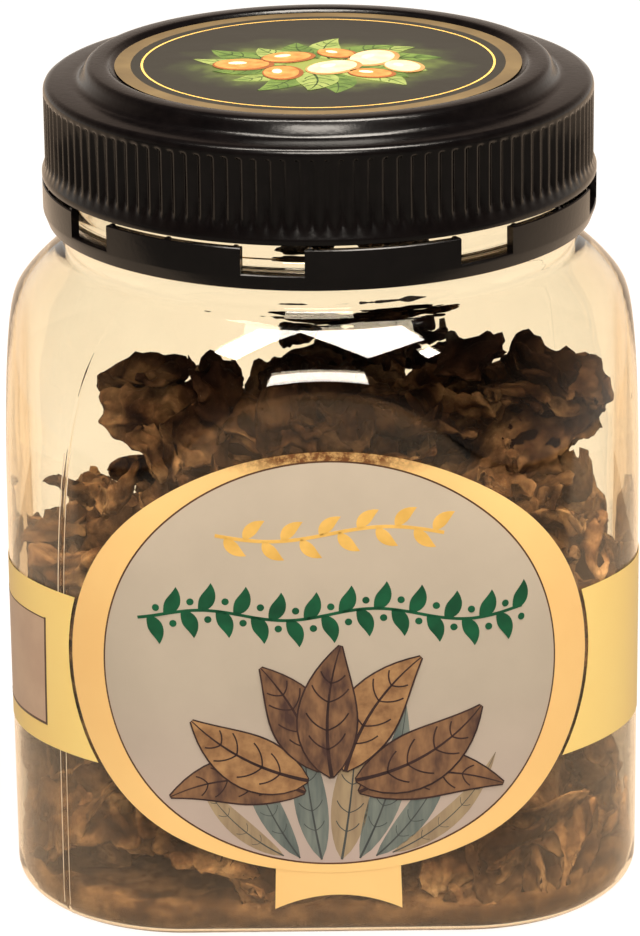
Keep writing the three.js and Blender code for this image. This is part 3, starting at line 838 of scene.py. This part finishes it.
def draw_front(sheet, inks):
    """A gold sprig, a green garland, and a fan of brown leaves over grey grass."""
    gold, green, brown, tan, grass = (inks[k] for k in ("gold_print", "green", "brown", "tan", "grass"))
    sprig = wave(66.2, 1.1, 5.5)
    sheet.stroke([sprig(x) for x in np.linspace(-17, 17, 40)], 0.28, gold)
    for i, x in enumerate(np.linspace(-15.5, 15.5, 12)):
        side = 1 if i % 2 else -1
        root = sprig(x)
        sheet.leaf(root, (root[0] + 3.1, root[1] + side * 3.0), 0.95, gold, bow=0.1 * side)
    garland = wave(53.4, 0.9, 4.2)
    sheet.stroke([garland(x) for x in np.linspace(-29, 29, 70)], 0.24, green)
    for i, x in enumerate(np.linspace(-27.5, 27.5, 22)):
        side = 1 if i % 2 else -1
        root = garland(x)
        sheet.leaf(root, (root[0] + 1.9, root[1] + side * 4.3), 1.15, green, bow=-0.12 * side)
        sheet.disc((root[0] + 1.4, root[1] - side * 1.5), 0.55, green)
    blades = [
        (-13.5, -23.0, 15.0, 1.6), (-9.0, -21.0, 20.0, 2.0), (-3.0, -23.0, 23.5, 2.5),
        (2.5, -22.5, 22.0, 2.8),
        (7.5, -20.0, 23.0, 2.4), (12.0, -21.0, 17.5, 2.0), (16.5, -18.0, 13.0, 1.5),
    ]
    for k, (x, low, tall, wide) in enumerate(blades):
        edge = math.sqrt(1 - (0.55 * x / FIELD_WIDTH) ** 2) * FIELD_HEIGHT
        root = (LABEL_SHIFT + 0.55 * x, OVAL_CENTRE - edge + 0.5)
        tip = (LABEL_SHIFT + 1.5 * x, OVAL_CENTRE + low + tall - 9.5)
        ink = grass if k % 3 else inks["grass_light"]
        sheet.leaf(root, tip, wide, ink, inks["grass_dark"], bow=-0.006 * x)
    leaves = [
        ((-4.0, 24.5), (-24.5, 24.0), 3.9, brown, -0.12), ((4.0, 24.5), (26.0, 25.5), 4.0, brown, 0.12),
        ((-3.5, 26.5), (-21.0, 36.5), 4.3, tan, 0.08), ((3.5, 26.5), (22.5, 38.5), 4.4, brown, -0.10),
        ((-1.8, 28.0), (-10.5, 45.0), 4.3, brown, -0.06), ((2.0, 28.0), (13.5, 46.5), 4.4, tan, 0.08),
        ((0.0, 27.0), (1.5, 48.5), 4.4, brown, 0.06),
    ]
    for k, (root, tip, wide, ink, bow) in enumerate(leaves):
        sheet.leaf(
            (LABEL_SHIFT + root[0], root[1]), (LABEL_SHIFT + tip[0], tip[1]), wide, ink, inks["brown_dark"],
            layer=3 + 3 * k, bow=bow, outline=0.28)


def build_wrap_label(inks):
    """Gold band in three panels: one on each side, up to the oval, and one across the back."""
    first = LABEL_SHIFT + OVAL_WIDTH + WRAP_GAP
    last = PERIMETER + LABEL_SHIFT - OVAL_WIDTH - WRAP_GAP
    back = PERIMETER / 2
    side_end = 3 * JAR_STRAIGHT + CORNER_LENGTH + 1.5
    back_half = JAR_STRAIGHT + 2
    sheet = Sheet("label_wrap", on_jar, LABEL_GAP)
    panels = (
        (first, side_end, 1, 0), (back - back_half, back + back_half, 0, 0),
        (PERIMETER - side_end, last, 0, 1))
    for start, end, start_share, end_share in panels:
        rows = []
        for z in np.linspace(WRAP_FOOT, WRAP_TOP, 13):
            taper = OVAL_WIDTH * (1 - math.sqrt(1 - ((z - OVAL_CENTRE) / OVAL_HEIGHT) ** 2))
            rows.append([
                (u, z) for u in np.linspace(start - taper * start_share, end + taper * end_share, 64)])
        sheet.grid(rows, inks["wrap"])
    box_right = last - 5.6
    box = [[(u, z) for u in np.linspace(box_right - 27, box_right, 24)] for z in np.linspace(31.4, 48.6, 8)]
    sheet.grid(box, inks["panel"], layer=1)
    sheet.stroke([(box_right, z) for z in np.linspace(31.2, 48.8, 10)], 0.22, inks["line"], layer=2)
    for edge, half in ((box[0], 0.2), (box[-1], 0.1)):
        sheet.stroke(edge, half, inks["line"], layer=2)
    for side in (-1, 1):

        def stem(t):
            return (back + side * t, 41 + 1.2 * math.sin(t / 5))

        sheet.stroke([stem(t) for t in np.linspace(2.5, 20, 30)], 0.22, inks["green"])
        for i, t in enumerate(np.linspace(5, 18.5, 7)):
            up = 1 if i % 2 else -1
            root = stem(t)
            tip = (root[0] + side * 2.2, root[1] + up * 4.4)
            sheet.leaf(root, tip, 1.2, inks["green"], bow=0.1 * up * side)
    sheet.disc((back, 41), 1.3, inks["brown"])
    return dress(sheet.build(), "jar", "label_film", "wrap_label")


def build_film(inks):
    """Clear film that carries the labels, from the base up to the crease, with its seam at a corner, drawn as
    pale strokes that are painted highlights on its edges.
    """
    seam = -(JAR_STRAIGHT + CORNER_LENGTH / 2)

    def top(along):
        """Height of the crease, where the flat side meets the shoulder."""
        x, y = on_jar(along, 60, 0)[:2]
        flat = square_radius(math.atan2(y, x), JAR_HALF, JAR_CORNER)
        low, high, margin, lowest = 50.0, 97.0, 0.5, 74.0
        for _ in range(24):
            middle = (low + high) / 2
            low, high = (middle, high) if shoulder_radius(middle) > flat else (low, middle)
        return max(low - margin, lowest)

    sheet = Sheet("label_film", on_jar, FILM_GAP)
    columns = np.linspace(seam, seam + PERIMETER, 170)
    rows = [[(u, FILM_FOOT + (top(u) - FILM_FOOT) * t) for u in columns] for t in np.linspace(0, 1, 24)]
    sheet.grid(rows, film_plastic())
    # Painted highlights: two pale strokes along the film's overlapping edges at the seam.
    for shift, half in ((-0.75, 0.1), (0.55, 0.07)):
        sheet.stroke([(seam + shift, z) for z in np.linspace(2.5, 75.5, 30)], half, inks["seam"], layer=2)
    return dress(sheet.build(), "jar", "label_film")


def build_sticker(inks):
    def flat(u, v, standoff):
        return (u, v, STICKER_FACE + standoff)

    sheet = Sheet("lid_sticker", flat, 0.0)
    rings = (
        ((0.01, 6, 12, 18, 23, 27.0), "lid_field"), ((27.0, 27.35), "gold_print"),
        ((27.35, 28.9), "lid_field"), ((28.9, STICKER_RADIUS), "lid_gold"))
    for radii, ink in rings:
        sheet.grid([ellipse(r, r, (0, 0), 144) for r in radii], inks[ink], closed=True)
    draw = random.Random(5)
    for k in range(16):
        angle = 2 * math.pi * k / 16 + draw.uniform(-0.12, 0.12)
        reach = draw.uniform(16, 21)
        root = (5 * math.cos(angle), 4 * math.sin(angle) - 2)
        tip = (reach * math.cos(angle + 0.2), 0.82 * reach * math.sin(angle + 0.2) - 2)
        ink = inks["leaf_light"] if k % 2 else inks["leaf"]
        sheet.leaf(root, tip, draw.uniform(2.6, 3.6), ink, inks["leaf_dark"], layer=1 + 2 * (k % 3), bow=0.12)
    nuts = [
        (-11.5, -1.5, 4.8, "nut"), (-4.6, 2.6, 4.4, "nut"), (2.4, -3.8, 5.0, "cream"),
        (8.6, 1.8, 5.2, "cream"),
        (-5.4, -6.8, 4.3, "nut"), (13.2, -3.6, 4.0, "cream"), (3.0, 4.8, 3.6, "nut"), (8.2, -7.6, 3.8, "nut"),
    ]
    for k, (x, y, r, ink) in enumerate(nuts):
        rounds = (
            (x, y, r, ink + "_dark", 0.74), (x - 0.25, y + 0.3, 0.88 * r, ink, 0.72),
            (x - 0.9, y + 0.9, 0.3 * r, "shine", 0.6))
        for i, (u, v, radius, tone, flatness) in enumerate(rounds):
            sheet.disc((u, v), radius, inks[tone], layer=8 + i + k % 3, flat=flatness, turn=0.4 * k)
    return dress(sheet.build(), "cap", "lid_sticker", "cap_sticker")


def make_inks():
    inks = {name: print_ink(name, *entry)[0] for name, entry in INKS.items()}
    inks.update(gold=gold_ink(), field=field_ink(), lid_field=lid_field_ink())
    return inks


# Dried trumpets


def stay_inside(points, clearance):
    """Draws points in to the inner wall and lifts them off the floor of the jar."""
    x, y, z = points[:, 0], points[:, 1], points[:, 2]
    np.maximum(z, FLOOR_INSIDE, out=z)
    for k in range(len(points)):
        reach = math.hypot(x[k], y[k])
        limit = jar_radius(math.atan2(y[k], x[k]), max(z[k], 3.5)) - JAR_WALL - clearance
        if reach > limit:
            x[k] *= limit / reach
            y[k] *= limit / reach
    return points


def vectors(mesh, key):
    """Points ("co") or normals ("normal") of a mesh."""
    flat = np.empty(len(mesh.vertices) * 3)
    mesh.vertices.foreach_get(key, flat)
    return flat.reshape(-1, 3)


def ray_tree(mesh):
    return BVHTree.FromPolygons([v.co for v in mesh.vertices], [p.vertices[:] for p in mesh.polygons])


def inner_share(mesh):
    """For each point, 1 where its normal meets the piece again: the inside of the funnel, and also its folds.
    The skin darkens these points for the funnel's own dark inner side and as painted shade in the folds.
    """
    tree = ray_tree(mesh)
    shares = []
    for vertex in mesh.vertices:
        start = vertex.co + vertex.normal * (0.4 * MM)
        hit = tree.ray_cast(start, vertex.normal, FUNNEL_REACH * MM)[0]
        shares.append(1.0 if hit is not None else 0.0)
    return shares


def store(mesh, name, values):
    attribute = mesh.attributes.new(name, "FLOAT", "POINT")
    attribute.data.foreach_set("value", values)


def subdivide(piece, levels):
    modifier = piece.modifiers.new("subdivision", "SUBSURF")
    modifier.levels = modifier.render_levels = levels
    apply_modifiers(piece)


def furrow(points, normals, offset, turn):
    """Wrinkles and pits along the normals. Returns the points, and 0 in a furrow to 1 on a crest for each."""
    made, crests = points.copy(), []
    for k, (p, n) in enumerate(zip(points, normals)):
        here = Vector(p)
        local = turn @ here
        local.z *= 0.3
        wrinkle = 1 - 3 * abs(noise.noise(local / 2.4 + offset))
        knob = 1 - 3 * abs(noise.noise(here / 3.6 + offset))
        fine = noise.noise(here / 1.4 + offset)
        made[k] = here + Vector(n) * (0.55 * wrinkle + 0.6 * knob + 0.7 * fine - 0.5)
        crests.append(min(max(0.35 + 0.22 * wrinkle + 0.22 * knob + 0.4 * fine, 0), 1))
    return made, crests


def crumple(points, rim, offset):
    """Soft folds, and a rim that is torn."""
    made = points.copy()
    for k, (p, edge) in enumerate(zip(points, rim)):
        here = Vector(p)
        fold = noise.noise_vector(here / 12 + offset) * 3.0 + noise.noise_vector(here / 4.6 + offset) * 2.1
        torn = noise.noise_vector(here / 2.4 + offset) * (2.4 * edge)
        made[k] = here + fold + torn
    return made


def weather(mesh, points, offset, turn, clearance):
    """Gives a mesh wrinkled points that stay inside the jar, and their crests."""
    points, crests = furrow(points, vectors(mesh, "normal"), offset, turn)
    mesh.vertices.foreach_set("co", (stay_inside(points, clearance) * MM).ravel())
    store(mesh, "crest", crests)


def long_axis(spread):
    """Direction in which points round 0 spread most, upward, from rounded sums so that it repeats exactly."""
    sums = [[round(float((spread[:, i] * spread[:, j]).sum()), 2) for j in range(3)] for i in range(3)]
    axis = Vector((0.3, 0.2, 1))
    for _ in range(40):
        axis = Vector([sum(row[j] * axis[j] for j in range(3)) for row in sums]).normalized()
    return axis if axis.z > 0 else -axis


def build_trumpet(name, seed, skin):
    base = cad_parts[name]
    mesh = base.data.copy()
    mesh.materials.clear()
    mesh.materials.append(skin)
    piece = add_object("trumpet_" + name[-2:], mesh)
    with editing(mesh) as edit:
        bmesh.ops.remove_doubles(edit, verts=edit.verts, dist=1e-6)
        bmesh.ops.join_triangles(
            edit, faces=edit.faces, angle_face_threshold=math.radians(60),
            angle_shape_threshold=math.radians(120))
        bmesh.ops.recalc_face_normals(edit, faces=edit.faces)
    corners = vectors(mesh, "co")
    centre = corners.mean(axis=0)
    axis = long_axis((corners - centre) / MM)
    mesh.vertices.foreach_set("co", (centre + (corners - centre) * TRUMPET_GROWTH).ravel())
    subdivide(piece, 1)
    store(piece.data, "inner", inner_share(piece.data))
    x, y, z = centre / MM
    buried = z < BURIED_BELOW and jar_radius(math.atan2(y, x), z) - math.hypot(x, y) > BURIED_DEPTH
    subdivide(piece, 1 if buried else 2)
    mesh = piece.data
    inner = np.empty(len(mesh.vertices))
    mesh.attributes["inner"].data.foreach_get("value", inner)
    offset = Vector((seed * 17.3, seed * 5.1, seed * 9.7))
    turn = axis.rotation_difference(Vector((0, 0, 1))).to_matrix()
    points = crumple(vectors(mesh, "co") / MM, 4 * inner * (1 - inner), offset)
    weather(mesh, points, offset, turn, 0.35 + 0.25 * (seed % 3))
    tint = noise.noise(Vector((seed * 3.7, 1.5, 0))) * 0.9 + 0.28
    store(mesh, "tint", [min(max(tint, 0), 0.9)] * len(mesh.vertices))
    mesh.polygons.foreach_set("use_smooth", [True] * len(mesh.polygons))
    mesh.update()
    return dress(piece, "jar", "dried_mushroom", name)


class Scraps:
    """Thin curled scraps of trumpet, gathered in one mesh."""

    def __init__(self, seed, rows, columns):
        self.draw = random.Random(seed)
        self.rows = rows
        self.columns = columns
        self.points = []
        self.faces = []
        self.tints = []

    def add(self, middle, heading, normal, length, width, curl, thickness=0.9, cup=None):
        draw, rows, columns = self.draw, self.rows, self.columns
        side = normal.cross(heading).normalized()
        along = side.cross(normal).normalized()
        waves, drawn = draw.uniform(0, 6), draw.uniform(-0.5, 1.0)
        cup = drawn if cup is None else cup
        wobble = Vector((draw.uniform(0, 99), draw.uniform(0, 99), draw.uniform(0, 99)))
        rough = 0.12 * width + 0.4
        shell = []
        for layer in (0.5 * thickness, -0.5 * thickness):
            for r in range(rows):
                t = 2 * r / (rows - 1) - 1
                taper = max(1 - abs(t) ** 3, 0.1) * (1 + 0.25 * math.sin(waves + 4 * t))
                for c in range(columns):
                    s = 2 * c / (columns - 1) - 1
                    edge = 1 - 0.7 * abs(s) ** 3
                    rise = 0.3 * length * curl * t * t + 0.45 * width * cup * s * s
                    rise += 0.1 * width * math.sin(waves + 5 * t + 2 * s)
                    p = middle + along * (0.5 * length * t) + side * (0.5 * width * s * taper)
                    p += noise.noise_vector((p + along * rise) / (2 + 0.25 * width) + wobble) * rough
                    shell.append(p + normal * (rise + layer * edge))
        start = len(self.points)
        self.points.extend(tuple(p) for p in shell)
        half = rows * columns
        for r in range(rows - 1):
            for c in range(columns - 1):
                a = start + r * columns + c
                b = a + half
                self.faces.append((a, a + 1, a + columns + 1, a + columns))
                self.faces.append((b, b + columns, b + columns + 1, b + 1))
        rim = [start + c for c in range(columns)]
        rim += [start + r * columns + columns - 1 for r in range(1, rows)]
        rim += [start + (rows - 1) * columns + c for c in range(columns - 2, -1, -1)]
        rim += [start + r * columns for r in range(rows - 2, 0, -1)]
        for i, a in enumerate(rim):
            b = rim[(i + 1) % len(rim)]
            self.faces.append((b, a, a + half, b + half))
        self.tints += [draw.uniform(0.0, 0.7)] * len(shell)

    def build(self, name, skin, clearance):
        piece = solid(name, self.points, self.faces, skin)
        store(piece.data, "inner", [0.2] * len(piece.data.vertices))
        store(piece.data, "tint", self.tints)
        subdivide(piece, 1)
        mesh = piece.data
        weather(mesh, vectors(mesh, "co") / MM, Vector((3, 5, 7)), Matrix.Identity(3), clearance)
        return dress(piece, "jar", "dried_mushroom")


def any_heading(draw):
    return Vector((draw.uniform(-1, 1), draw.uniform(-1, 1), draw.uniform(-1, 1))).normalized()


def heap_limit(x, y):
    """Greatest height of the heap at a place."""
    line = np.interp(x, [p[0] for p in SKYLINE], [p[1] for p in SKYLINE]) - HEAP_FALL * y
    return min(line, HEAP_CROWN - CROWN_FALL * (x * x + y * y))


class Heap:
    """Finds the top of what lies under a place."""

    def __init__(self, trumpets):
        self.trees = [ray_tree(piece.data) for piece in trumpets]

    def drop(self, x, y, z):
        found = None
        for tree in self.trees:
            hit, normal = tree.ray_cast(Vector((x, y, z)) * MM, Vector((0, 0, -1)))[:2]
            if hit is not None and (found is None or hit.z > found[0].z):
                found = (hit, normal)
        return found


def build_shreds(heap, skin):
    """Small torn scraps that lie on the pieces below them."""
    lift, off_wall = 6, 4
    scraps = Scraps(11, 9, 5)
    draw = scraps.draw
    for k in range(SHRED_TRIALS):
        draw.seed(k)
        angle = draw.uniform(0, 2 * math.pi)
        high = draw.random() ** 0.6 * SHRED_TOP + lift
        reach = (jar_radius(angle, high) - off_wall) * draw.uniform(0.4, 0.95)
        found = heap.drop(*polar(reach, angle, high))
        if found is None or found[0].z > SHRED_TOP * MM:
            continue
        hit, normal = found
        if normal.z < 0:
            normal = -normal
        scraps.add(
            hit / MM + normal * 0.9, any_heading(draw), normal, draw.uniform(3, 14), draw.uniform(1.2, 4.5),
            draw.uniform(-0.6, 0.8))
    return scraps.build("dried_shreds", skin, 0.4)


def build_cover(heap, skin):
    """Torn pieces piled on the heap, each on what lies there already, up to the skyline."""
    widest, least_room, off_wall, bare_height = 43, 2, 4, 50
    scraps = Scraps(31, 8, 5)
    draw = scraps.draw
    raised = {}
    for k in range(COVER_TRIALS):
        draw.seed(COVER_SEED * COVER_TRIALS + k)
        angle, reach = draw.uniform(0, 2 * math.pi), widest * math.sqrt(draw.random())
        x, y, high = polar(reach, angle, 100)
        found = heap.drop(x, y, high)
        cell = (round(x / COVER_CELL), round(y / COVER_CELL))
        base = (round(found[0].z / MM, 1) if found else bare_height) + raised.get(cell, 0)
        room = heap_limit(x, y) - base
        if room < least_room or jar_radius(angle, base + 3) - reach < off_wall:
            continue
        rise = min(room, draw.uniform(2, 5))
        normal = (Vector((0, 0, 1)) + any_heading(draw) * 0.8).normalized()
        length = draw.uniform(8, 11 + min(room, 10))
        scraps.add(
            Vector((x, y, base + 0.5 * rise)), any_heading(draw), normal, length, draw.uniform(5, 11),
            draw.uniform(-0.8, 0.6))
        for i in (-1, 0, 1):
            for j in (-1, 0, 1):
                beside = (cell[0] + i, cell[1] + j)
                raised[beside] = raised.get(beside, 0) + rise * (0.6 if i or j else 1)
    for x, y, z, length, width in KNOBS:
        heading = Vector((1, draw.uniform(-0.4, 0.4), draw.uniform(-0.5, 0.1)))
        scraps.add(Vector((x, y, z)), heading, Vector((0, -0.4, 1)), length, width, 0.2, 1.4, 1.2)
    return scraps.build("dried_cover", skin, 0.5)


def build_lobes(skin):
    """Broad curled lobes that are pressed between the funnels and the wall."""
    foot, below_skyline, highest, side_top = 5, 6, 72, 42
    scraps = Scraps(23, 12, 8)
    draw = scraps.draw
    for k in range(LOBE_COUNT):
        angle = 2 * math.pi * (k * 0.618 % 1) + draw.uniform(-0.2, 0.2)
        top = min(heap_limit(*polar(46, angle, 0)[:2]) - below_skyline, highest)
        top = min(top, side_top) if abs(math.cos(angle)) > 0.75 else top
        high = foot + (top - foot) * ((k * 0.381) % 1) ** 1.3
        depth = draw.uniform(3.0, 9.0)
        reach = jar_radius(angle, high) - depth
        outward = Vector((math.cos(angle), math.sin(angle), draw.uniform(-0.35, 0.35)))
        normal = (outward + any_heading(draw) * 0.45).normalized()
        length, width = draw.uniform(15, 30), draw.uniform(8, 16)
        middle = Vector(polar(reach, angle, high))
        scraps.add(middle, any_heading(draw), normal, length, width, draw.uniform(-0.9, 0.2), 1.0)
    return scraps.build("dried_lobes", skin, 0.3)


def build_crumbs(dust):
    """Bed of powder and crumbs on the floor of the jar."""
    angles = [2 * math.pi * i / 180 for i in range(180)]

    def bed(width, low, high, wave):
        ring = []
        for a in angles:
            r = inset_radius(a, width)
            x, y = polar(r, a, 0)[:2]
            z = low + (high - low) * (0.5 + 0.5 * noise.noise(Vector((x, y, 3)) / 5))
            z += wave * noise.noise(Vector((x, y, 9)) / 1.3)
            r = min(r, jar_radius(a, z) - JAR_WALL - BED_GAP)
            ring.append(polar(r, a, z))
        return ring

    # The underside is (width drawn in, height), the top is (width, lowest, highest, grain).
    foot = (
        (22, 4.2), (15.2, 4.1), (12.2, 3.15), (10.3, 1.75), (9.1, 0.95), (8.3, 0.65), (5, 0.62), (3.6, 0.64),
        (2.3, 0.92), (1.5, 1.5), (0.95, 2.4), (0.66, 3.4))
    top = (
        (0.65, 3.9, 7.6, 0.8), (2.2, 4.0, 8.4, 1.0), (4.4, 4.2, 8.0, 1.0), (7, 4.2, 7.0, 0.8),
        (10, 4.6, 6.2, 0.5), (14, 5.0, 6.4, 0.5), (22, 5.0, 6.4, 0.5))
    sides = [*[bed(width, z, z, 0) for width, z in foot], *[bed(*row) for row in top]]
    rings = [[(0, 0, 4.2)], *sides, [(0, 0, 5.6)]]
    return dress(solid("dried_dust", *rings_mesh(rings), dust), "jar", "dried_mushroom")


# Stage, light and camera


def seen_ray(tree):
    """1 for what is looked at directly or straight through the jar, with no reflection on the way."""
    path = node(tree, "LightPath").outputs
    straight = maths(tree, "LESS_THAN", path["Glossy Depth"], 0.5)
    through = maths(tree, "MULTIPLY", path["Is Transmission Ray"], straight)
    return maths(tree, "MAXIMUM", path["Is Camera Ray"], through)


def build_stage():
    """White floor. Reflections and bent rays see its glow only from the front of the jar backwards."""
    bpy.ops.mesh.primitive_plane_add(size=8)
    floor = bpy.context.object
    floor.name = "floor"
    made, tree, shader = material("floor_paper")
    looked_at = seen_ray(tree)
    path = node(tree, "LightPath").outputs
    bent = maths(tree, "MAXIMUM", path["Is Glossy Ray"], path["Is Transmission Ray"])
    behind = rescale(tree, along_axis(tree, place(tree), "Y"), (-85, -60))
    seen = maths(tree, "MAXIMUM", looked_at, maths(tree, "MULTIPLY", bent, behind))
    feed(tree, shader, {
        "Roughness": 0.9, "Base Color": (0.11, 0.10, 0.09, 1),
        "Emission Color": mix_colour(tree, looked_at, FLOOR_MIRRORED, FLOOR_SEEN),
        "Emission Strength": maths(tree, "MULTIPLY", seen, FLOOR_GLOW)})
    floor.data.materials.append(made)


def area_light(name, location, size, power):
    light = bpy.data.lights.new(name, "AREA")
    light.shape = "RECTANGLE"
    light.size, light.size_y = size
    light.energy = power
    light.color = LAMP_COLOUR
    made = add_object(name, light)
    made.location = location
    made.rotation_euler = (Vector(LAMP_TARGET) - made.location).to_track_quat("-Z", "Y").to_euler()


def build_world():
    """Room: light low down and behind the jar, dim above and in front, near white where it is looked at."""
    world = bpy.data.worlds.new("studio")
    bpy.context.scene.world = world
    world.use_nodes = True
    tree = world.node_tree
    towards = node(tree, "TexCoord").outputs["Generated"]
    up = ramp(tree, along_axis(tree, towards, "Z"), [
        (0.0, (0.95, 0.88, 0.80)), (0.14, (0.75, 0.62, 0.52)), (0.34, (0.34, 0.255, 0.20)),
        (0.6, (0.06, 0.042, 0.034)), (1.0, (0.035, 0.024, 0.02))])
    back = rescale(tree, along_axis(tree, towards, "Y"), (-0.5, 0.6))
    room = times(tree, up, mix_colour(tree, back, (0.20, 0.165, 0.15), grey(1.0)))
    feed(tree, tree.nodes["Background"], {
        "Color": mix_colour(tree, seen_ray(tree), room, ROOM_SEEN), "Strength": 1.0})


def build_camera():
    distance, elevation, roll = 726.125, math.radians(19.47), math.radians(-0.63)
    focal, centre, sensor = 4570.3, (322.55, 463.71), 36
    width, height = 640, 936
    target = Vector((0, 0, 60))
    back = Vector((0, -math.cos(elevation), math.sin(elevation)))
    eye = target + distance * back
    forward = -back
    right = forward.cross(Vector((0, 0, 1))).normalized()
    up = right.cross(forward)
    right_rolled = math.cos(roll) * right + math.sin(roll) * up
    up_rolled = -math.sin(roll) * right + math.cos(roll) * up
    camera = bpy.data.cameras.new("camera")
    camera.sensor_width = sensor
    camera.sensor_fit = "AUTO"
    camera.lens = focal / height * sensor
    camera.shift_x = (width / 2 - centre[0]) / height
    camera.shift_y = (centre[1] - height / 2) / height
    camera.clip_start = 0.01
    made = add_object("camera", camera)
    turn = Matrix((right_rolled, up_rolled, back)).transposed().to_4x4()
    made.matrix_world = Matrix.Translation(eye * MM) @ turn
    bpy.context.scene.camera = made


build_camera()
noise.seed_set(NOISE_SEED)
build_world()
build_stage()
for lamp in LAMPS:
    area_light(*lamp)

inks = make_inks()
plastic = black_plastic()
build_jar()
build_cap(plastic)
build_liner()
build_band(plastic)
build_front_label(inks)
build_wrap_label(inks)
build_film(inks)
build_sticker(inks)

skin = trumpet_skin()
names = sorted(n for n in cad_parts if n.startswith("dried_trumpet_"))
trumpets = [build_trumpet(name, i + 1, skin) for i, name in enumerate(names)]
heap = Heap(trumpets)
build_shreds(heap, skin)
build_cover(heap, skin)
build_lobes(skin)
build_crumbs(dust_skin())

scene = bpy.context.scene
scene.view_settings.view_transform = "Standard"
scene.view_settings.look = "None"
